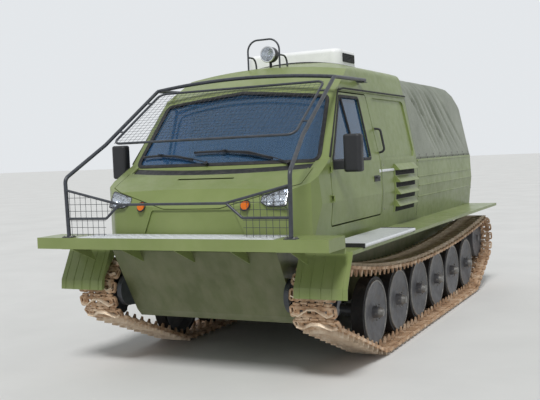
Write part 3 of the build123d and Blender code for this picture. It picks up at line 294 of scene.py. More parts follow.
class Finish:
    """A procedural material in the making."""

    def __init__(self, name, colour, **fixed):
        self.material = bpy.data.materials.new(name)
        self.material.use_nodes = True
        self.tree = self.material.node_tree
        self.shader = self.tree.nodes["Principled BSDF"]
        self.shader.inputs["Base Color"].default_value = srgb(*colour)
        for socket, value in fixed.items():
            self.shader.inputs[socket.replace("_", " ")].default_value = value
        self.material.diffuse_color = srgb(*colour)
        self.place = self.tree.nodes.new("ShaderNodeTexCoord").outputs["Object"]
        self.colour = None
        self.height = None

    def node(self, kind, inputs=(), **values):
        return add_node(self.tree, kind, inputs, **values)

    def noise(self, scale, detail=4.0, rough=0.55, stretch=None):
        place = self.place
        if stretch:
            place = self.node("Mapping", {"Vector": place, "Scale": stretch}).outputs["Vector"]
        inputs = {"Vector": place, "Scale": scale, "Detail": detail, "Roughness": rough}
        return self.node("TexNoise", inputs).outputs["Fac"]

    def span(self, value, low, high, to_low=0.0, to_high=1.0):
        inputs = {"Value": value, "From Min": low, "From Max": high, "To Min": to_low, "To Max": to_high}
        return self.node("MapRange", inputs).outputs["Result"]

    def ramp(self, value, stops):
        """Colours from a table of (place, colour)."""
        made = self.node("ValToRGB", {"Fac": value})
        elements = made.color_ramp.elements
        for place, colour in stops[2:]:
            elements.new(place)
        for element, (place, colour) in zip(sorted(elements, key=lambda e: e.position), sorted(stops)):
            element.position, element.color = place, srgb(*colour)
        self.colour = made.outputs["Color"]

    def over(self, colour, amount):
        """Another colour laid over the present one by an amount."""
        inputs = {"Factor": amount, "A": self.colour, "B": srgb(*colour)}
        self.colour = self.node("Mix", inputs, data_type="RGBA").outputs["Result"]

    def times(self, first, second, how="MULTIPLY"):
        return self.node("Math", {0: first, 1: second}, operation=how).outputs["Value"]

    def upward(self, vector, start, end):
        """How far a vector's Z lies between two values, from 0 to 1."""
        return self.span(self.node("SeparateXYZ", {"Vector": vector}).outputs["Z"], start, end)

    def facing_up(self):
        """How far the surface faces up, from 0 to 1."""
        return self.upward(self.node("NewGeometry").outputs["Normal"], 0.35, 1.0)

    def bump(self, value, strength, distance):
        inputs = {"Height": value, "Strength": strength, "Distance": distance}
        if self.height:
            inputs["Normal"] = self.height
        self.height = self.node("Bump", inputs).outputs["Normal"]

    def done(self):
        if self.height:
            self.tree.links.new(self.height, self.shader.inputs["Normal"])
        self.tree.links.new(self.colour, self.shader.inputs["Base Color"])
        return self.material


def layered(name, base, tint, rough=None, dirt=None, grain=(), on_top=False, **fixed):
    """A finish in layers, each driven by a noise that is written as its scale, detail and so on.

    tint: noise and stops of colour. rough: noise, least and most roughness, and the span of the noise
    that it follows. dirt: colour, noise, its span and the most that it covers, on_top where it only
    settles on what faces up. grain: rows of noise, strength and depth of relief.
    """
    made = Finish(name, base, **fixed)
    made.ramp(made.noise(*tint[0]), tint[1:])
    if dirt:
        colour, spots, low, high, most = dirt
        amount = made.span(made.noise(*spots), low, high, 0, most)
        made.over(colour, made.times(made.facing_up(), amount) if on_top else amount)
    if rough:
        spots, least, most, low, high = (*rough, 0.3, 0.7)[:5]
        value = made.span(made.noise(*spots), low, high, least, most)
        made.tree.links.new(value, made.shader.inputs["Roughness"])
    for spots, strength, depth in grain:
        made.bump(made.noise(*spots), strength, depth)
    return made


def body_paint(name, light, dark, dusty):
    """Semi-gloss paint: cloudy tint, dust on flats and low down, and a faint orange peel."""
    paint = layered(
        name, light, ((1.6, 5), (0.32, dark), (0.68, light)), ((14.0, 4), 0.28, 0.44),
        grain=[((260.0, 2), 0.06, 0.001)], Coat_Weight=0.12, Coat_Roughness=0.14, Specular_IOR_Level=0.35,
    )
    settled = paint.times(paint.facing_up(), paint.span(paint.noise(6.0, 6), 0.42, 0.75))
    streaks = paint.span(paint.noise(9.0, 5, stretch=(1, 1, 0.25)), 0.35, 0.8)
    low = paint.times(paint.upward(paint.place, 1.65, 0.85), streaks)
    paint.over((164, 156, 134), paint.times(paint.times(settled, low, "ADD"), dusty))
    return paint.done()


def rusty_steel(name, stops, rough_low, metal):
    """Cast steel shoes with rust of several tints, pitted."""
    return layered(
        name, stops[1][1], ((9.0, 9, 0.68), *stops), ((48.0, 5), rough_low, rough_low + 0.3),
        ((84, 58, 40), (34.0, 8, 0.7), 0.58, 0.85, 0.6), [((120.0, 7, 0.7), 0.45, 0.003)], Metallic=metal,
    ).done()


def moulded(name, colour, low, high):
    """Moulded plastic or rubber with a fine grain."""
    shade = tuple(max(0, value - 8) for value in colour)
    return layered(
        name, colour, ((7.0, 5), (0.3, shade), (0.7, colour)), ((24.0, 4), low, high),
        ((150, 144, 130), (16.0, 6), 0.5, 0.9, 0.25), [((420.0, 2), 0.12, 0.0008)], on_top=True,
    ).done()


def canvas():
    """Proofed canvas: a woven bump, cloudy fading and patches of dust."""
    cloth = layered(
        "tilt_canvas", (106, 112, 96), ((2.2, 7), (0.3, (108, 115, 99)), (0.72, (136, 142, 127))),
        ((15.0, 4), 0.68, 0.9), ((160, 158, 146), (5.0, 8, 0.7), 0.54, 0.85, 0.4),
        Sheen_Weight=0.2, Sheen_Roughness=0.5,
    )
    for axis in ("X", "Y", "Z"):
        weave = {"Vector": cloth.place, "Scale": 140.0, "Distortion": 0.6}
        thread = cloth.node("TexWave", weave, bands_direction=axis)
        cloth.bump(thread.outputs["Fac"], 0.12, 0.0008)
    cloth.bump(cloth.noise(22.0, 6), 0.3, 0.004)
    return cloth.done()


def pane(name, colour, clear):
    """Tinted glass with a trace of dust; clear is the share of light that it lets through."""
    bright = tuple(min(255, value + 8) for value in colour)
    return layered(
        name, colour, ((3.0, 4), (0.3, colour), (0.7, bright)), ((12.0, 5), 0.05, 0.14, 0.4, 0.8),
        ((150, 150, 146), (7.0, 7), 0.5, 0.9, 0.05),
        Roughness=0.03, Transmission_Weight=clear, IOR=1.5, Specular_IOR_Level=0.35,
    ).done()


def plated(name, colour, low, high):
    """A bright plated or silvered surface with faint smears."""
    shade = tuple(value - 10 for value in colour)
    tint = ((9.0, 5), (0.3, shade), (0.7, colour))
    return layered(name, colour, tint, ((20.0, 5), low, high), Metallic=1.0).done()


cab_paint = body_paint("green_paint", (130, 143, 88), (116, 130, 74), 0.13)
# The hull paint is the body green darkened as painted shade, with heavier real dust
hull_paint_darkened_as_shade = body_paint("green_hull_paint", (100, 107, 70), (88, 95, 60), 0.26)
tube_paint = layered(
    "charcoal_paint", (52, 56, 64), ((20.0, 5), (0.3, (42, 45, 51)), (0.7, (60, 64, 71))),
    ((40.0, 3), 0.32, 0.5), ((118, 112, 100), (30.0, 6), 0.5, 0.9, 0.4), [((180.0, 3), 0.1, 0.001)],
    on_top=True, Metallic=0.1, Coat_Weight=0.2, Coat_Roughness=0.25,
).done()
disc_paint = layered(
    "wheel_paint", (72, 73, 76), ((5.0, 6), (0.3, (86, 87, 91)), (0.7, (118, 118, 121))),
    ((22.0, 4), 0.45, 0.7), ((122, 108, 90), (11.0, 8, 0.65), 0.52, 0.8, 0.5), [((90.0, 5), 0.12, 0.002)],
).done()
shoe_tints = [(0.3, (124, 92, 68)), (0.5, (190, 156, 124)), (0.72, (234, 216, 192))]
worn_tints = [(0.3, (192, 168, 142)), (0.55, (222, 205, 182)), (0.75, (240, 231, 217))]
shoe_steel = rusty_steel("shoe_steel", shoe_tints, 0.55, 0.1)
worn_steel = rusty_steel("worn_steel", worn_tints, 0.35, 0.4)
hub_steel = layered(
    "hub_steel", (128, 128, 126), ((25.0, 6), (0.3, (104, 103, 100)), (0.7, (150, 149, 146))),
    ((70.0, 4), 0.35, 0.6), ((120, 86, 58), (60.0, 7), 0.56, 0.8, 0.7), [((160.0, 4), 0.15, 0.001)],
    Metallic=0.55,
).done()
bright_metal = layered(
    "bright_aluminium", (222, 224, 227),
    ((12.0, 6, 0.55, (1, 6, 1)), (0.3, (212, 215, 219)), (0.7, (232, 234, 236))),
    ((60.0, 4), 0.28, 0.48), ((150, 142, 126), (18.0, 8, 0.7), 0.56, 0.9, 0.35),
    [((300.0, 3), 0.08, 0.001)], Metallic=0.3,
).done()
tilt_canvas = canvas()
seat_fabric = layered(
    "seat_cloth", (52, 54, 60), ((160.0, 3), (0.35, (44, 46, 52)), (0.65, (66, 68, 76))),
    ((30.0, 3), 0.75, 0.92), grain=[((600.0, 2), 0.3, 0.001)], Sheen_Weight=0.3,
).done()
black_plastic = moulded("black_plastic", (34, 35, 38), 0.4, 0.6)
black_rubber = moulded("black_rubber", (30, 30, 31), 0.55, 0.8)
white_plastic = moulded("white_plastic", (246, 247, 247), 0.25, 0.4)
engine_iron = moulded("engine_iron", (70, 70, 72), 0.6, 0.8)
# Near-black for dark panel joints, and as painted shade in the louvre slots
dark_joint_and_painted_shade = moulded("dark_joint_and_painted_shade", (16, 17, 16), 0.7, 0.9)
# Window glass: its strong blue tint is mostly a painted reflection of the sky
window_glass = pane("window_glass", (80, 124, 164), 0.7)
lens_glass = pane("lens_glass", (236, 240, 244), 0.92)
amber_lens = pane("amber_lens", (244, 122, 24), 0.2)
red_lens = pane("red_lens", (176, 22, 20), 0.2)
chrome = plated("reflector_chrome", (226, 228, 232), 0.06, 0.16)
silvered = plated("mirror_silver", (190, 198, 206), 0.02, 0.06)

node_finish = dict(
    green_paint=cab_paint, green_hull=hull_paint_darkened_as_shade, black_paint=tube_paint, wheel_paint=disc_paint,
    bare_aluminium=bright_metal, track_steel=shoe_steel, tyre_rubber=black_rubber,
    window_glass=window_glass, lamp_glass=lens_glass, amber_lens=amber_lens, red_lens=red_lens,
    black_plastic=black_plastic, white_plastic=white_plastic, canvas=tilt_canvas,
    seat_cloth=seat_fabric, engine_iron=engine_iron,
)
for row in frame["record"]["subparts"]:
    node_materials = frame["nodes"][row["node"]].data.materials
    node_materials.clear()
    node_materials.append(node_finish[row["material_slot"]])


# The surfaces that trim lies on
def bowed_point(place, height, slope, radius, x, z):
    """A point on a sloping panel that is bowed across the vehicle."""
    bow = radius - math.sqrt(radius**2 - x * x)
    climb = (z - height + bow * math.cos(slope)) / math.sin(slope)
    return Vector((x, back(place) + climb * math.cos(slope) + bow * math.sin(slope), z))


def screen_point(x, z):
    """A point on the windscreen's outer surface."""
    return bowed_point(cowl_place, cowl_z, screen_slope, screen_bow_radius, x, z)


def nose_point(x, z):
    """A point on the nose panel, between its lip and the brow."""
    return bowed_point(brow_place, brow_z, nose_slope, nose_bow_radius, x, z)


screen_normal = Vector((0, -math.sin(screen_slope), math.cos(screen_slope)))
nose_normal = Vector((0, -math.sin(nose_slope), math.cos(nose_slope)))
side_normal = Vector((1, 0, 0.17)).normalized()


def side_x(z):
    """Half width of the body side at a height."""
    rows = [(deck_z, base_x), (crease_z, crease_x), (belt_z, belt_x), (gutter_z, gutter_x)]
    for (low, x_low), (high, x_high) in zip(rows, rows[1:]):
        if z <= high:
            return x_low + (x_high - x_low) * (z - low) / (high - low)
    return gutter_x


def side_line(route, side=1, proud=0.0):
    """Points on the body side from (distance, height) pairs."""
    return [Vector((side * (side_x(z) + proud), back(distance), z)) for distance, z in route]


def side_bar(route, section):
    """A section laid along the body side."""
    return Shape().laid(side_line(route), section, side_normal)


def crown_drop(x):
    """How far the crowned roof lies below its middle at a half width."""
    return crown_radius - math.sqrt(crown_radius**2 - x * x)


def outline_of(pairs, radius, steps=6):
    """A closed outline with rounded corners from (x, z) pairs."""
    return rounded([(x, 0, z) for x, z in pairs], radius, steps, True)


# Windscreen seal
screen_corners = [(-0.930, 1.805), (-0.845, 2.375), (0, 2.457), (0.845, 2.375), (0.930, 1.805)]
screen_loop = dense(outline_of(screen_corners, 0.06), 0.06, True)
screen_line = [screen_point(p.x, p.z) for p in screen_loop]
seal = Shape().laid(screen_line, band(0.036, 0.007), screen_normal, True)
seal.piece("windscreen_seal", black_rubber, smooth=50)

# Windscreen glass, bowed and smooth
glass_set_back = Vector((0, glass_depth / math.sin(screen_slope), 0))
glass_through = Vector((0, glass_thick / math.sin(screen_slope), 0))
outer_face = []
for share in (1 - ring / glass_rings for ring in range(glass_rings)):
    shrunk = [(share * p.x, share * p.z + (1 - share) * glass_middle_z) for p in screen_loop]
    outer_face.append([screen_point(x, z) + glass_set_back for x, z in shrunk])
inner_face = [[p + glass_through for p in ring] for ring in outer_face]
screen_pane = Shape().rings(outer_face[::-1] + inner_face).piece("windscreen_pane", window_glass)
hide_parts("windscreen")

# Door window seals and the bar between quarter light and window
door_window = [(1.000, 1.794), (1.063, 1.860), (1.453, 2.372), (1.925, 2.372), (1.960, 1.794)]
quarter_bar = [(1.490, 2.368), (1.600, 1.800)]
window_loop = dense(rounded([(0, distance, z) for distance, z in door_window], 0.03, 5, True), 0.08, True)
for side, name, body in ((1, "left", "door_left_body"), (-1, "right", "door_right_body")):
    outward = Vector((side * side_normal.x, 0, side_normal.z))
    seal = Shape().laid(side_line([(p.y, p.z) for p in window_loop], side), band(0.026, 0.006), outward, True)
    seal.piece("window_seal_" + name, black_rubber, body, smooth=50)
    bar = Shape().laid(side_line(quarter_bar, side, -0.006), band(0.024, 0.009), outward)
    bar.piece("quarter_bar_" + name, black_rubber, body, smooth=50)

# Black strip along the rain gutter and down the windscreen pillar
gutter_route = [(3.390, 2.446), (1.560, 2.446), (1.455, 2.428)]
gutter_route += [(1.385, 2.350), (1.262, 2.200), (1.100, 2.000), (0.958, 1.832)]
strip_points = []
for p in rounded([(0, distance, z) for distance, z in gutter_route], 0.08):
    proud = 0.010 if p.z > gutter_z else 0.001
    strip_points += side_line([(p.y, p.z)], proud=proud)
strip = Shape().laid(strip_points, band(0.016, 0.008), side_normal)
strip.both_sides().piece("gutter_strips", black_rubber)

# Wipers, parked low on the windscreen: an arm from its pivot, and a blade
wiper_routes = {
    "wiper_right": [
        (-0.094, 1.802), (-0.271, 1.849), (-0.470, 1.884), (-0.669, 1.895), (-0.831, 1.892), (-0.895, 1.884),
    ],
    "wiper_left": [
        (0.684, 1.782), (0.525, 1.835), (0.281, 1.895), (0.039, 1.911), (-0.128, 1.913), (-0.283, 1.911),
    ],
}
wiper_lift, pivot_sink, pivot_height, pivot_radius = 0.014, 0.03, 0.055, 0.016
blade_section = [(-0.008, -0.012), (-0.009, 0.004), (0, 0.009), (0.009, 0.004), (0.008, -0.012)]
for name, route in wiper_routes.items():
    line = [screen_point(x, z) + screen_normal * wiper_lift for x, z in route]
    pivot = line[0] - screen_normal * pivot_sink
    wiper = Shape().rod(pivot, pivot + screen_normal * pivot_height, pivot_radius, 14)
    bends = [pivot + screen_normal * 0.05, line[1] + screen_normal * 0.012, line[3] + screen_normal * 0.01]
    wiper.laid(dense(rounded(bends, 0.1), 0.05), flat(0.007, -0.003, 0.004))
    wiper.laid(dense(line[1:], 0.04), blade_section)
    wiper.box((-0.014, -0.03, -0.004), (0.014, 0.03, 0.014), shift(line[3]))
    wiper.piece(name, black_plastic)

# Headlamps: a clear lens over a bright bowl with two reflectors and their bulbs
lamp_view = [(0.640, 1.492), (0.705, 1.462), (0.868, 1.462), (0.868, 1.604), (0.640, 1.542)]
lamp_x, lamp_middle_z = 0.765, 1.530
lamp_outline = outline_of(lamp_view, 0.018, 5)


def lamp_ring(share, lift):
    """The lamp's outline drawn towards its middle, and lifted off the nose."""
    xs = [lamp_x + (p.x - lamp_x) * share for p in lamp_outline]
    zs = [lamp_middle_z + (p.z - lamp_middle_z) * share for p in lamp_outline]
    return [nose_point(x, z) + nose_normal * lift for x, z in zip(xs, zs)]


lens_rings = [(0.02, -0.003), (0.5, -0.003), (1.0, -0.003), (1.0, 0.0)]
lens_rings += [(0.94, 0.004), (0.5, 0.006), (0.02, 0.006)]
lens = Shape().rings([lamp_ring(*row) for row in lens_rings])
lens_piece = lens.both_sides().piece("headlamp_lenses", lens_glass)
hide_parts("headlamps")

bowl_rings = [(0.985, -0.005), (0.95, -0.050), (0.02, -0.052)]
bowl = Shape().rings([lamp_ring(*row) for row in bowl_rings], ends=False)
for x, z, radius in ((0.806, 1.527, 0.052), (0.702, 1.512, 0.040)):
    place = facing(nose_point(x, z) - nose_normal * 0.046, nose_normal)
    dish = [(0.000, 0.006), (0.004, 0.3 * radius), (0.014, 0.7 * radius), (0.032, radius)]
    dish += [(0.033, 0.9 * radius), (0.016, 0.6 * radius), (0.006, 0.2 * radius)]
    bowl.turned(dish, 32, place)
    bowl.turned([(0.0, 0.006), (0.018, 0.007), (0.024, 0.004)], 14, place)
bowl.both_sides().piece("headlamp_reflectors", chrome)

bezel = Shape().laid(lamp_ring(1.0, 0.001), band(0.007, 0.003), nose_normal, True)
indicator_x, indicator_z, indicator_radius = 0.510, 1.470, 0.039
collar = [nose_point(indicator_x + x, indicator_z + z) for x, z in circle(indicator_radius, 40)]
bezel.laid(collar, band(0.009, 0.007), nose_normal, True)
bezel.both_sides().piece("lamp_bezels", black_plastic)

# Spot lamp: a faceted bowl under a domed lens in a bright ring
lamp_front = facing((0, back(lamp_place), lamp_z), (0, -1, 0))
spot_ring = Shape()
ring_profile = [(0.0, 0.066), (0.0, 0.080), (0.010, 0.082), (0.018, 0.076), (0.015, 0.066)]
spot_ring.turned(ring_profile, 48, lamp_front, True)
for y, z in circle(1.0, 28):
    spoke = [(0.002, 0.012), (0.006, 0.035), (0.008, 0.066)]
    spot_ring.tube([lamp_front @ Vector((lift, r * y, r * z)) for lift, r in spoke], 0.0028, 5)
spot_ring.turned([(-0.001, 0.066), (0.001, 0.066), (0.0015, 0.0)], 48, lamp_front)
spot_ring.turned([(0.0, 0.010), (0.010, 0.010), (0.014, 0.006)], 16, lamp_front)
spot_ring.piece("spot_lamp_reflector", chrome)
dome = [(0.010, 0.0), (0.010, 0.068), (0.015, 0.070), (0.022, 0.050), (0.026, 0.025), (0.027, 0.0)]
Shape().turned(dome, 48, lamp_front).piece("spot_lamp_lens", lens_glass)

# Roof box: side vents with slats, and a gasket on the roof
vents = Shape()
vent_front, vent_rear, vent_low, vent_high = 2.560, 2.880, 2.802, 2.884
vent_x = roof_box_half_width
vents.box((vent_x - 0.004, back(vent_front), vent_low), (vent_x + 0.003, back(vent_rear), vent_high))
for slat in range(5):
    height = vent_low + 0.010 + slat * 0.0155
    tilt_slat = shift((vent_x + 0.005, 0, height)) @ Matrix.Rotation(math.radians(-35), 4, "Y")
    vents.box((-0.007, back(vent_front + 0.01), -0.001), (0.007, back(vent_rear - 0.01), 0.001), tilt_slat)
vent_corners = rectangle((vent_front, vent_low), (vent_rear, vent_high))
vent_line = rounded([(vent_x + 0.003, back(distance), z) for distance, z in vent_corners], 0.012, 4, True)
vents.tube(vent_line, 0.005, 6, True)
vents.both_sides()
foot_corners = rectangle((-1, roof_box_front), (1, roof_box_rear))
foot_line = rounded([(side * vent_x, back(distance), 0) for side, distance in foot_corners], 0.09, 8, True)
gasket = [Vector((p.x, p.y, crown_z - crown_drop(p.x) + 0.001)) for p in dense(foot_line, 0.05, True)]
vents.tube(gasket, 0.006, 8, True)
vents.piece("roof_box_vents", black_plastic)


# Door fittings, each made on the left and mirrored
def door_pair(shape, name, material):
    """A fitting on each door."""
    shape.piece(name + "_left", material, "door_left_body")
    shape.mirrored().piece(name + "_right", material, "door_right_body")


mirror_outline = outline_of(rectangle((1.138, 1.716), (1.262, 2.000)), 0.03)
mirror_y, mirror_thick = back(1.0815), 0.003
mirror_rings = [[(p.x, mirror_y + step, p.z) for p in mirror_outline] for step in (0.0, mirror_thick)]
door_pair(Shape().rings(mirror_rings), "mirror_glass", silvered)

handle_place, handle_z = 2.075, 1.600
base_route = [(handle_place - 0.075, handle_z), (handle_place + 0.075, handle_z)]
handle = side_bar(base_route, band(0.058, 0.006))
lever = side_line([(handle_place - 0.060, handle_z + 0.008), (handle_place + 0.030, handle_z + 0.008)])
foot = side_line([(handle_place + 0.055, handle_z + 0.008)])
handle.tube(rounded([p + side_normal * 0.022 for p in lever] + foot, 0.03), 0.009, 10)
lock = side_line([(handle_place + 0.060, handle_z - 0.014)])[0]
handle.turned([(0.0, 0.010), (0.009, 0.010), (0.010, 0.006)], 18, facing(lock, side_normal))
door_pair(handle, "door_handle", black_plastic)

slide_z = 1.668
door_strip = side_bar([(2.155, slide_z), (2.190, slide_z)], band(0.030, 0.008))
door_pair(door_strip, "door_slide_strip", bright_metal)

# Trim on the cab and bed sides
body_strip = side_bar([(2.232, slide_z), (2.590, slide_z)], band(0.024, 0.008))
body_strip.both_sides().piece("side_bright_strips", bright_metal)

seam = Shape()
for distance, low, high in ((2.235, 1.262, 1.768), (3.404, 1.130, 1.745)):
    line = side_line([(distance, low), (distance, crease_z), (distance, high)])
    seam.laid(line, flat(0.002, -0.003, 0.0006), side_normal)
seam.both_sides().piece("side_panel_seams", dark_joint_and_painted_shade)

bead = Shape()
half_round = [(0.007 * math.cos(turn), 0.007 * math.sin(turn)) for turn in np.linspace(math.pi, 0, 7)]
bead_rows = [(height, half_round) for height in (1.340, 1.460, 1.560)] + [(1.738, band(0.022, 0.006))]
for height, section in bead_rows:
    bead.laid(side_line([(3.430, height), (5.862, height)]), section, side_normal)
bead.both_sides().piece("bed_side_beads", cab_paint)

screws = Shape()
for spot in side_line([(2.290, 1.720), (2.290, 1.290), (2.560, 1.300), (3.340, 1.300), (3.340, 1.700)]):
    screws.turned([(-0.001, 0.008), (0.002, 0.008), (0.004, 0.004)], 12, facing(spot, sideways))
screws.both_sides().piece("side_screws", hub_steel)

# Louvre slots under the hoods, filled near-black as painted shade, with their bars
louvre_low, louvre_high, louvre_slots = 1.232, 1.725, 4
louvre_front, louvre_rear, louvre_plate = 2.600, 3.280, 0.008
slot_outer = louvre_plate + 0.002
slot_ends = (back(louvre_front + 0.022), back(louvre_rear - 0.022))
slots = Shape()
for slot in range(louvre_slots):
    hood_top = louvre_high - slot * (louvre_high - louvre_low) / louvre_slots
    high = hood_top - 0.50 * (louvre_high - louvre_low) / louvre_slots
    low = high - 0.46 * (louvre_high - louvre_low) / louvre_slots
    corners = [(slot_outer, low), (slot_outer, high), (0, high), (0, low)]
    slots.rings([[(side_x(z) + proud, y, z) for proud, z in corners] for y in slot_ends])
    for bar in range(1, 4):
        height = low + (high - low) * bar / 4
        reach = side_x(height) + slot_outer
        slots.rod(*((reach, y, height) for y in slot_ends), 0.002, 5)
slots.both_sides().piece("louvre_slots", dark_joint_and_painted_shade)

# Raised bars of the tread plate on the front platform
tread = Shape()
tread_top = platform_top + 0.004
bar_length, bar_width, bar_height, tread_pitch = 0.036, 0.009, 0.003, 0.048
bar_low = (-bar_length / 2, -bar_width / 2, -0.001)
bar_high = (bar_length / 2, bar_width / 2, bar_height)
tread_columns, tread_rows = 38, 6
for column in range(tread_columns):
    for row in range(tread_rows):
        x = (column - (tread_columns - 1) / 2) * tread_pitch
        y = back(0.025 + row * tread_pitch)
        turn = math.radians(45 if (column + row) % 2 else -45)
        place = shift((x, y, tread_top)) @ Matrix.Rotation(turn, 4, "Z")
        tread.box(bar_low, bar_high, place)
tread.piece("platform_tread_bars", bright_metal)

# Black end caps of the side steps
step_ends = Shape()
for distance in (step_front, step_rear):
    low = (step_inner_x - 0.004, back(distance) - 0.006, step_top - 0.036)
    step_ends.box(low, (step_outer_x + 0.004, back(distance) + 0.006, step_top + 0.004))
step_ends.both_sides().piece("step_end_caps", black_rubber, bevel=0.002)

# Foot plates and gutter brackets of the brush guard, and the bolts of its feet and the sprocket cases
post_x = 1.057
plates = Shape()
plates.box((-0.050, -0.036, -0.001), (0.050, 0.036, 0.007), shift((post_x, guard_y, platform_top)))
plates.box((-0.034, -0.050, -0.004), (0.034, 0.050, 0.004), shift((0.928, back(2.040), 2.525)))
plates.both_sides().piece("guard_brackets", tube_paint, bevel=0.002)
fixings = Shape()
for off_x in (-0.034, 0.034):
    for off_y in (-0.022, 0.022):
        fixings.bolt((post_x + off_x, guard_y + off_y, platform_top + 0.007), upright, 0.008, 0.010)
for distance, height, radius, first_turn in ((0.640, 0.690, 0.104, -90), (0.530, 0.715, 0.122, 150)):
    for bolt in range(9):
        turn = math.radians(first_turn + bolt * 180 / 8)
        spot = (0.844, back(distance) + radius * math.cos(turn), height + radius * math.sin(turn))
        fixings.bolt(spot, sideways, 0.010, 0.012)
fixings.both_sides().piece("bracket_bolts", hub_steel)


# Wire mesh of the guard
def clipped(outline, axis, value):
    """Stretches of a line at a constant value on one axis that lie inside an outline."""
    other = 1 - axis
    crossings = []
    for start, end in zip(outline, outline[1:] + outline[:1]):
        if (start[axis] - value) * (end[axis] - value) < 0:
            share = (value - start[axis]) / (end[axis] - start[axis])
            crossings.append(start[other] + share * (end[other] - start[other]))
    crossings.sort()
    return list(zip(crossings[::2], crossings[1::2]))


def mesh_panel(shape, outline, spacing, radius, place_of):
    """Square wire mesh inside an outline of (across, up); place_of gives a point in space."""
    for axis in (0, 1):
        values = [p[axis] for p in outline]
        steps = int((max(values) - min(values)) / spacing)
        start = (max(values) + min(values) - steps * spacing) / 2
        lift = radius if axis == 0 else -radius
        for value in (start + step * spacing for step in range(steps + 1)):
            for reach in clipped(outline, axis, value):
                ends = [(value, end) if axis == 0 else (end, value) for end in reach]
                shape.rod(place_of(*ends[0], lift), place_of(*ends[1], lift), radius, 5)


side_mesh = Shape()
upper_panel = [(1.050, 1.395), (1.052, 1.636), (0.500, 1.510), (0.512, 1.508), (0.655, 1.395)]
lower_panel = [(1.046, 1.246), (1.046, 1.395), (0.655, 1.395), (0.655, 1.246)]
for outline in (upper_panel, lower_panel):
    mesh_panel(side_mesh, outline, 0.057, 0.0022, lambda x, z, lift: Vector((x, guard_y + lift, z)))
side_mesh.both_sides().piece("guard_side_mesh", tube_paint, smooth=80)

slant = top_corner - side_joint
slant_up = slant.normalized()
slant_out = Vector((0, -slant_up.z, slant_up.y))
slant_climb = Vector((0, slant.y, slant.z)).normalized()


def slant_place(x, up, lift):
    """A point in the guard's slanted plane."""
    return Vector((x, side_joint.y, side_joint.z)) + slant_climb * up + slant_out * lift


screen_mesh = Shape()
screen_top = 0.93 * slant.length
screen_panel = [(-0.895, 0.012), (0.895, 0.012), (0.858, screen_top), (-0.858, screen_top)]
mesh_panel(screen_mesh, screen_panel, 0.048, 0.0014, slant_place)
screen_mesh.piece("guard_screen_mesh", tube_paint, smooth=80)


# Tracks: shoes in detail along the same line as the solid
def on_circle(arc, angle):
    turn = math.radians(angle)
    return Vector((0, arc[0] + arc[2] * math.cos(turn), arc[1] + arc[2] * math.sin(turn)))


def leaving_angle(first, second):
    """Where a belt round both circles leaves the first one, in degrees."""
    span_y, span_z = second[0] - first[0], second[1] - first[1]
    lean = math.asin((first[2] - second[2]) / math.hypot(span_y, span_z))
    return math.degrees(math.atan2(span_z, span_y) + lean) - 90


def hanging_circle(wheel, low):
    """The arc of the sagging run between a wheel and the run's lowest point."""
    drop, reach = low[1] - wheel[1], low[0] - wheel[0]
    radius = (reach**2 / (wheel[2] - drop) - wheel[2] - drop) / 2
    return (low[0], low[1] + radius, radius)


def facing_angle(arc, other):
    return math.degrees(math.atan2(other[1] - arc[1], other[0] - arc[0])) % 360


def belt_line(spacing=0.01):
    """Points along the inner face of the track."""
    front = (back(wheel_places[0]), wheel_z, belt_radius)
    rear = (back(wheel_places[-1]), wheel_z, belt_radius)
    low = (back(wheel_places[2]), wheel_z + belt_radius)
    climb, drop = leaving_angle(rear, idler), leaving_angle(sprocket, front) % 360
    rear_hang, front_hang = hanging_circle(idler, low), hanging_circle(sprocket, low)
    arcs = [
        (rear, -90, climb),
        (idler, climb, facing_angle(idler, rear_hang)),
        (rear_hang, facing_angle(rear_hang, idler), 270),
        (front_hang, 270, facing_angle(front_hang, sprocket)),
        (sprocket, facing_angle(sprocket, front_hang), drop),
        (front, drop, 270),
    ]
    line = []
    for arc, start, end in arcs:
        steps = max(2, math.ceil(abs(math.radians(end - start)) * arc[2] / spacing))
        line += [on_circle(arc, start + (end - start) * step / steps) for step in range(steps + 1)]
    return dense(line, spacing, True)


def shoe_shape(pitch):
    """One track shoe: across on X, along the track on Y, outward on Z; body and worn grouser apart."""
    casting = Shape()
    hinge_radius, hinge_height = 0.0125, 0.0135
    near = [(-0.135, 0.03, -1), (0, 0.034, -1), (0.135, 0.03, -1)]
    far = [(-0.07, 0.029, 1), (0.07, 0.029, 1)]
    for centre, half, end in near + far:
        y = end * pitch / 2
        casting.rod((centre - half, y, hinge_height), (centre + half, y, hinge_height), hinge_radius, 8)
    casting.box((-0.165, -0.38 * pitch, 0.004), (0.165, -0.13 * pitch, 0.026))
    casting.box((-0.165, 0.16 * pitch, 0.004), (0.165, 0.38 * pitch, 0.024))
    for centre in (-0.135, -0.07, 0, 0.07, 0.135):
        casting.box((centre - 0.017, -0.45 * pitch, 0.005), (centre + 0.017, 0.45 * pitch, 0.021))
    for side in (-1, 1):
        corners = rectangle((0.158, -0.042), (0.192, 0.042))
        eye = rounded([(side * x, y, 0.016) for x, y in corners], 0.03, 3, True)
        casting.laid(eye, flat(0.008, -0.013, 0.013), upright, True)
        horn = []
        for half_x, half_y, height in ((0.011, 0.028, 0.0), (0.005, 0.010, -0.06)):
            around = rectangle((-half_x, -half_y), (half_x, half_y))
            horn.append([(side * 0.076 + x, y, height) for x, y in around][::-1])
        casting.rings(horn)
    chevron = [(0.035, -0.028), (0.125, 0.030), (0.176, 0.010)]
    crest = [Vector((-x, y, 0.036)) for x, y in reversed(chevron)]
    crest += [Vector((x, y, 0.036)) for x, y in chevron]
    rib = [(-0.008, -0.018), (-0.005, 0.020), (0.005, 0.020), (0.008, -0.018)]
    return casting, Shape().laid(crest, rib, upright)


def repeated(shape, places, name, material):
    """One piece made of a shape at many places."""
    points = np.array([tuple(p) for p in shape.points])
    whole = Shape()
    for matrix in (np.array(place) for place in places):
        whole.add(points @ matrix[:3, :3].T + matrix[:3, 3], shape.faces)
    return whole.piece(name, material, smooth=35)


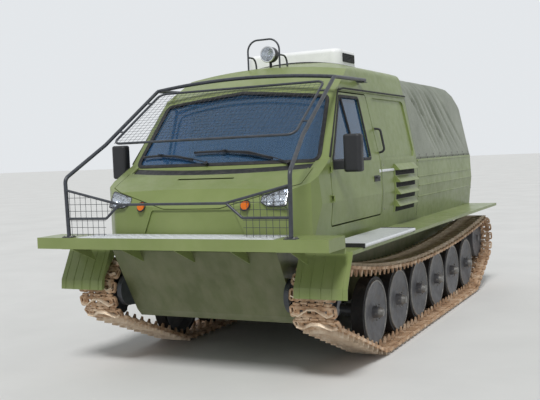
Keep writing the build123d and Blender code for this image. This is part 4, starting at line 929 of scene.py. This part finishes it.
belt = belt_line()
lengths = [(b - a).length for a, b in zip(belt, belt[1:] + belt[:1])]
reached = np.concatenate([[0], np.cumsum(lengths)])
belt_length = reached[-1]
belt_points = np.array([tuple(p) for p in belt] + [tuple(belt[0])])


def belt_at(distance):
    return Vector([np.interp(distance % belt_length, reached, belt_points[:, axis]) for axis in range(3)])


shoe_places = []
for shoe in range(shoe_count):
    middle = (shoe + 0.5) * belt_length / shoe_count
    along = (belt_at(middle + 0.03) - belt_at(middle - 0.03)).normalized()
    shoe_places.append(shift(belt_at(middle)) @ turned_to(sideways, along, sideways.cross(along) * -1))
casting, grouser = shoe_shape(belt_length / shoe_count)
for side, name in ((1, "left"), (-1, "right")):
    places = [shift((side * track_x, 0, 0)) @ place for place in shoe_places]
    shoes = repeated(casting, places, "track_shoes_" + name, shoe_steel)
    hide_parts("track_" + name)
    repeated(grouser, places, "track_grousers_" + name, worn_steel)

# Wheel rims, hub caps and their bolts
hub = Shape().turned([(0.0, 0.050), (0.012, 0.048), (0.026, 0.040), (0.040, 0.034), (0.044, 0.0)], 24)
for y, z in circle(0.074, 6):
    hub.bolt((-0.016, y, z), sideways, 0.008, 0.012)
rim_profile = [(0.0, -0.020), (0.005, -0.018), (0.006, -0.004), (0.0, 0.0)]
rim_edge = Shape().turned([(along, rim_radius + step) for along, step in rim_profile], 56, closed=True)
for part, x, name in ((hub, hub_face_x - 0.002, "wheel_hub_caps"), (rim_edge, rim_x, "wheel_rim_edges")):
    row = Shape()
    for distance in wheel_places:
        row.add(part.points, part.faces, shift((x, back(distance), wheel_z)))
    row.both_sides().piece(name, hub_steel)

# Canvas tilt: one sheet over the bows
tilt_crown = crown_z - 0.045
tilt_front, tilt_rear = cab_rear + 0.004, bed_rear - 0.004
slope_place, slope_z = 5.790, 2.390
tilt_places = [3.300, 5.250, 5.450, slope_place, 5.876]
tilt_heights = [tilt_crown + 0.001, tilt_crown + 0.001, tilt_crown - 0.016, slope_z, bed_top + 0.004]
bow_spacing, bow_sag, slack_from, edge_softness, canvas_thick = 0.6, 0.008, 2.3, 0.0006, 0.002
fold_foot, fold_head, fold_level = 1.80, 2.64, 2.50
# Folds on the side: where each starts, how it leans, its width and its depth
fold_rows = [
    (3.50, 0.60, 0.030, 0.016),
    (3.62, 1.35, 0.020, 0.018),
    (3.80, 1.50, 0.026, 0.028),
    (3.98, 1.62, 0.016, 0.016),
    (4.14, 1.45, 0.024, 0.026),
    (4.36, 1.40, 0.030, 0.028),
    (4.62, 1.20, 0.024, 0.020),
    (4.86, 1.05, 0.028, 0.020),
    (4.20, 0.85, 0.040, 0.012),
]


def tilt_section(share):
    """Half of the tilt's cross section as (x, z), from the left hem at 0 up to the crown at 1."""
    line = [(belt_x, bed_top), (gutter_x, gutter_z)]
    line.append((shoulder_x + 0.016, tilt_crown - shoulder_drop - 0.070))
    for x in (shoulder_x * 0.94 * (1 - step / 8) for step in range(9)):
        line.append((x, tilt_crown - crown_drop(x)))
    spans = [math.hypot(b[0] - a[0], b[1] - a[1]) for a, b in zip(line, line[1:])]
    reach = np.concatenate([[0], np.cumsum(spans)])
    return tuple(np.interp(share * reach[-1], reach, [p[axis] for p in line]) for axis in range(2))


def fold(distance, z):
    """Depth of the diagonal tension folds on the canvas side."""
    fade = max(0.0, min(1.0, (z - fold_foot) / 0.25)) * max(0.0, min(1.0, (fold_head - z) / 0.2))
    depth = 0.0
    for start, lean, width, size in fold_rows:
        gap = (distance - start - (fold_level - z) / lean * 1.3) / width
        depth += size * math.exp(-gap * gap) * fade
    return depth


def canvas_row(distance, across):
    """One row of the canvas, from the left hem over the crown to the right hem."""
    row = []
    top = float(np.interp(distance, tilt_places, tilt_heights))
    between_bows = math.sin(math.pi * ((distance - tilt_front) % bow_spacing) / bow_spacing)
    for step in range(across + 1):
        side = 1 if step <= across / 2 else -1
        x, z = tilt_section(1 - abs(2 * step / across - 1))
        gap = z - top
        z = top + 0.5 * (gap - math.sqrt(gap * gap + edge_softness))
        sag = bow_sag * between_bows * min(1.0, max(0.0, (z - slack_from) / 0.2))
        row.append(Vector((side * (x - fold(distance, z)), back(distance), max(z - sag, bed_top))))
    return row


def canvas_sheet(across=110, along=190):
    """The whole canvas as a grid of rows, closer together towards the rear."""
    points, faces = [], []
    count = across + 1
    for row in range(along + 1):
        points += canvas_row(tilt_front + (tilt_rear - tilt_front) * (1 - (1 - row / along) ** 1.6), across)
    for corner in (row * count + step for row in range(along) for step in range(across)):
        faces.append((corner, corner + count, corner + count + 1, corner + 1))
    return Shape().add(points, faces)


cloth = canvas_sheet().piece("canvas_tilt", tilt_canvas, smooth=60)
thickness = cloth.modifiers.new("thickness", "SOLIDIFY")
thickness.thickness = canvas_thick
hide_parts("tilt")

# Straps and buckles on the tilt's rear, and its hooks along the bed
strap, buckle, hooks = Shape(), Shape(), Shape()
rear_slope = Vector((0, bed_rear - slope_place, -(slope_z - bed_top))).normalized()
rear_out = Vector((0, -rear_slope.z, rear_slope.y))
for x in (-0.60, 0.0, 0.60):
    line = [Vector((x, back(slope_place), 2.360)), Vector((x, back(bed_rear), bed_top + 0.020))]
    route = [p + rear_out * 0.006 for p in line]
    strap.laid(route, flat(0.020, -0.002, 0.002), rear_out)
    low = route[1] - rear_slope * 0.060
    buckle.box((-0.028, -0.004, -0.022), (0.028, 0.012, 0.022), shift(low + rear_out * 0.002))
for hook in range(9):
    root = side_line([(3.520 + 0.280 * hook, 1.772)])[0]
    eyelet = facing(root + Vector((0, 0, 0.030)), side_normal)
    hooks.turned([(0.001, 0.006), (0.004, 0.014), (0.007, 0.006)], 16, eyelet, True)
    peg = [root + Vector(step) for step in ((0.004, 0, -0.012), (0.016, 0, -0.010), (0.018, 0, 0.006))]
    hooks.tube(rounded(peg, 0.01), 0.004, 8)
strap.piece("tilt_straps", black_rubber)
buckle.piece("tilt_buckles", hub_steel)
hooks.both_sides().piece("tilt_hooks", hub_steel)

# Tailgate latches, ribs and tail lamp frames
gate_y = back(bed_rear)
gate, latch, lamp_frames = Shape(), Shape(), Shape()
for x in (-0.62, 0.0, 0.62):
    gate.box((x - 0.030, gate_y - 0.001, 1.190), (x + 0.030, gate_y + 0.010, 1.700))
gate.piece("tailgate_ribs", cab_paint, "tailgate_body", bevel=0.005)
for x in (-0.860, 0.860):
    latch.box((x - 0.020, gate_y - 0.001, 1.640), (x + 0.020, gate_y + 0.014, 1.700))
    grip = [(x, gate_y + out, z) for out, z in ((0.012, 1.672), (0.034, 1.660), (0.034, 1.600))]
    latch.tube(rounded(grip, 0.015), 0.007, 8)
latch.piece("tailgate_latches", tube_paint, "tailgate_body", bevel=0.002)
frame_bars = [(0.941, 1.014, low, low + 0.008) for low in (1.296, 1.366, 1.436)]
frame_bars += [(low, low + 0.006, 1.296, 1.444) for low in (0.941, 1.008)]
for x_low, x_high, low, high in frame_bars:
    lamp_frames.box((x_low, gate_y - 0.001, low), (x_high, gate_y + 0.031, high))
lamp_frames.both_sides().piece("tail_lamp_frames", black_plastic)


# Seats: filled pads with sewn channels and piping
def apply_modifiers(obj):
    """Bakes an object's modifiers into its mesh."""
    graph = bpy.context.evaluated_depsgraph_get()
    baked = bpy.data.meshes.new_from_object(obj.evaluated_get(graph))
    obj.modifiers.clear()
    obj.data = baked


def stuffed(levels, half_x, half_y, corner, place, name):
    """A pad of stacked rounded rectangles, each at a height and drawn in to a share.

    It is remeshed, swollen as pressurised cloth within a limit, and smoothed.
    """
    voxel, limit, pressure, frames = 0.010, 0.022, 4.0, 20
    rings = []
    for height, share in levels:
        corners = rectangle((-half_x * share, -half_y * share), (half_x * share, half_y * share))
        outline = rounded([(x, y, 0) for x, y in corners], corner, 5, True)
        rings.append([(p.x, p.y, height) for p in outline])
    pad = new_object(name, Shape().rings(rings, place=place).mesh(name))
    remesh = pad.modifiers.new("remesh", "REMESH")
    remesh.mode, remesh.voxel_size = "VOXEL", voxel
    apply_modifiers(pad)
    start = np.array([v.co[:] for v in pad.data.vertices])
    settings = pad.modifiers.new("cloth", "CLOTH").settings
    settings.use_pressure = True
    settings.uniform_pressure_force = pressure
    settings.effector_weights.gravity = 0.0
    for step in range(1, frames + 1):
        bpy.context.scene.frame_set(step)
        bpy.context.view_layer.update()
    apply_modifiers(pad)
    moved = np.array([v.co[:] for v in pad.data.vertices]) - start
    length = np.linalg.norm(moved, axis=1, keepdims=True)
    held = start + moved * np.minimum(1.0, limit / np.maximum(length, 1e-9))
    pad.data.vertices.foreach_set("co", held.ravel())
    bpy.context.scene.frame_set(1)
    smooth = pad.modifiers.new("smooth", "SUBSURF")
    smooth.levels = smooth.render_levels = 1
    apply_modifiers(pad)
    pad.data.shade_smooth()
    return pad


def sew(pad, channels, face, width=0.006, depth=0.007):
    """Presses sewn channels into the side of a pad that faces a direction; each lies at an x."""
    vertices = pad.data.vertices
    normals, points = np.zeros(3 * len(vertices)), np.zeros(3 * len(vertices))
    vertices.foreach_get("normal", normals)
    vertices.foreach_get("co", points)
    normals, points = normals.reshape(-1, 3), points.reshape(-1, 3)
    press = np.max([np.exp(-(((points[:, 0] - x) / width) ** 2)) for x in channels], axis=0)
    press *= normals @ np.array(face) > 0.5
    points -= normals * (depth * press)[:, None]
    vertices.foreach_set("co", points.ravel())


def piping(pad, centre, axis, turn_from, radius=0.004, count=72):
    """A cord sewn round a pad, where its skin is met from outside at the pad's middle plane."""
    corners = [vertex.co for vertex in pad.data.vertices]
    tree = BVHTree.FromPolygons(corners, [polygon.vertices[:] for polygon in pad.data.polygons])
    route = []
    for step in range(count):
        direction = Matrix.Rotation(2 * math.pi * step / count, 3, axis) @ Vector(turn_from)
        spot = tree.ray_cast(Vector(centre) + direction, -direction)[0]
        if spot:
            route.append(spot)
    return Shape().tube(route, radius, 8, True)


def both_seats(pad, name):
    """The left pad and its twin on the right as one piece."""
    shape = Shape()
    for sign in (1, -1):
        points = [(sign * v.co.x, v.co.y, v.co.z) for v in pad.data.vertices]
        shape.add(points, [polygon.vertices[:] for polygon in pad.data.polygons])
    return shape.piece(name, seat_fabric, smooth=180)


seat_place = shift((seat_x, back(seat_front + 0.240), cushion_low))
seat_levels = [(0.012, 0.90), (0.030, 1.0), (0.080, 1.0), (0.104, 0.90)]
seat_pad = stuffed(seat_levels, 0.238, 0.220, 0.05, seat_place, "seat_pad_work")
sew(seat_pad, [seat_x - 0.11, seat_x, seat_x + 0.11], (0, 0, 1))

back_foot = Vector((seat_x, back(seat_front + 0.470), cushion_low + 0.135))
back_head = Vector((seat_x, back(seat_front + 0.635), cushion_low + 0.850))
back_up = (back_head - back_foot).normalized()
back_place = shift(back_foot) @ turned_to(sideways, sideways.cross(back_up) * -1, back_up)
back_levels = [(0.020, 0.90), (0.050, 0.98), (0.350, 1.0), (0.600, 0.90), (0.690, 0.80), (0.712, 0.70)]
back_pad = stuffed(back_levels, 0.236, 0.040, 0.03, back_place, "back_pad_work")
sew(back_pad, [seat_x - 0.10, seat_x + 0.10], (0, -1, 0.2))

pad_rows = [
    (seat_pad, "seat_cushions", "seat_cushion_pads"),
    (back_pad, "seat_backs", "seat_back_pads"),
]
for pad, node, name in pad_rows:
    both = both_seats(pad, name)
    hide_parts(node)
seat_trim = piping(seat_pad, (seat_x, back(seat_front + 0.240), cushion_low + 0.085), "Z", (0.5, 0, 0))
back_trim = piping(back_pad, (back_foot + back_head) / 2, "Y", (0.9, 0, 0))
seat_trim.add(back_trim.points, back_trim.faces)
seat_trim.both_sides().piece("seat_piping", black_rubber)
for pad in (seat_pad, back_pad):
    bpy.data.objects.remove(pad)

# Instrument hood and dials on the dashboard
hood = rounded([(-0.19, 0, 0.0), (-0.16, 0, 0.085), (0.16, 0, 0.085), (0.19, 0, 0.0)], 0.05)
hood_section = hood + [Vector((p.x * 0.94, 0, p.z * 0.88)) for p in hood][::-1]
hood_rings = [[(p.x, y, p.z) for p in hood_section] for y in (0.0, 0.135)]
Shape().rings(hood_rings, place=shift((seat_x, back(1.020), 1.742))).piece("instrument_hood", black_plastic)
gauges = Shape()
for x in (seat_x - 0.085, seat_x + 0.085):
    place = facing((x, back(1.060), 1.782), (0, 1, 0.25))
    gauges.turned([(0.0, 0.034), (0.010, 0.036), (0.012, 0.033), (0.004, 0.031), (0.003, 0.0)], 28, place)
gauges.piece("instrument_dials", chrome)

# Camera at the photograph's viewing point
camera = new_object("camera", bpy.data.cameras.new("camera"))
camera.data.lens = 56.25
camera.data.sensor_width = 36.0
yaw, pitch, roll = (math.radians(angle) for angle in (26.79, -3.1, -2.44))
forward = Vector((-math.sin(yaw) * math.cos(pitch), math.cos(yaw) * math.cos(pitch), math.sin(pitch)))
level = Vector((math.cos(yaw), math.sin(yaw), 0))
upward = level.cross(forward)
right = math.cos(roll) * level + math.sin(roll) * upward
top = -math.sin(roll) * level + math.cos(roll) * upward
camera.matrix_world = shift((3.76, -8.679, 1.875)) @ turned_to(right, top, -forward)
bpy.context.scene.camera = camera

# Light: a soft sky that reads paler where it is seen or reflected, and one soft sun
world = bpy.data.worlds.new("studio")
world.use_nodes = True
bpy.context.scene.world = world
sky = world.node_tree
lighting = sky.nodes["Background"]
lighting.inputs["Color"].default_value = (0.95, 0.98, 1.0, 1.0)
lighting.inputs["Strength"].default_value = 0.42
backdrop = add_node(sky, "Background", {"Color": (0.90, 0.93, 0.96, 1.0), "Strength": 0.86})
rays = add_node(sky, "LightPath")
seen = rays.outputs["Is Camera Ray"]
for name in ("Is Glossy Ray", "Is Transmission Ray"):
    seen = add_node(sky, "Math", {0: seen, 1: rays.outputs[name]}, operation="MAXIMUM").outputs["Value"]
skies = {"Fac": seen, 1: lighting.outputs["Background"], 2: backdrop.outputs["Background"]}
choice = add_node(sky, "MixShader", skies)
sky.links.new(choice.outputs["Shader"], sky.nodes["World Output"].inputs["Surface"])

sun = new_object("sun", bpy.data.lights.new("sun", "SUN"))
sun.data.energy = 2.2
sun.data.angle = math.radians(14)
sun.rotation_euler = Vector((-0.20, 0.58, -0.79)).to_track_quat("-Z", "Y").to_euler()

# Floor
floor_tint = ((0.8, 5), (0.3, (212, 212, 210)), (0.7, (220, 220, 218)))
floor_reach = 150.0
floor_corners = rectangle((-floor_reach, -floor_reach), (floor_reach, floor_reach))
floor_mesh = bpy.data.meshes.new("floor")
floor_mesh.from_pydata([(x, y, 0.0) for x, y in floor_corners], [], [(0, 1, 2, 3)])
floor_mesh.materials.append(layered("pale_floor", (216, 216, 214), floor_tint, Roughness=0.95).done())
floor = new_object("floor", floor_mesh)

bpy.context.scene.view_settings.view_transform = "Standard"
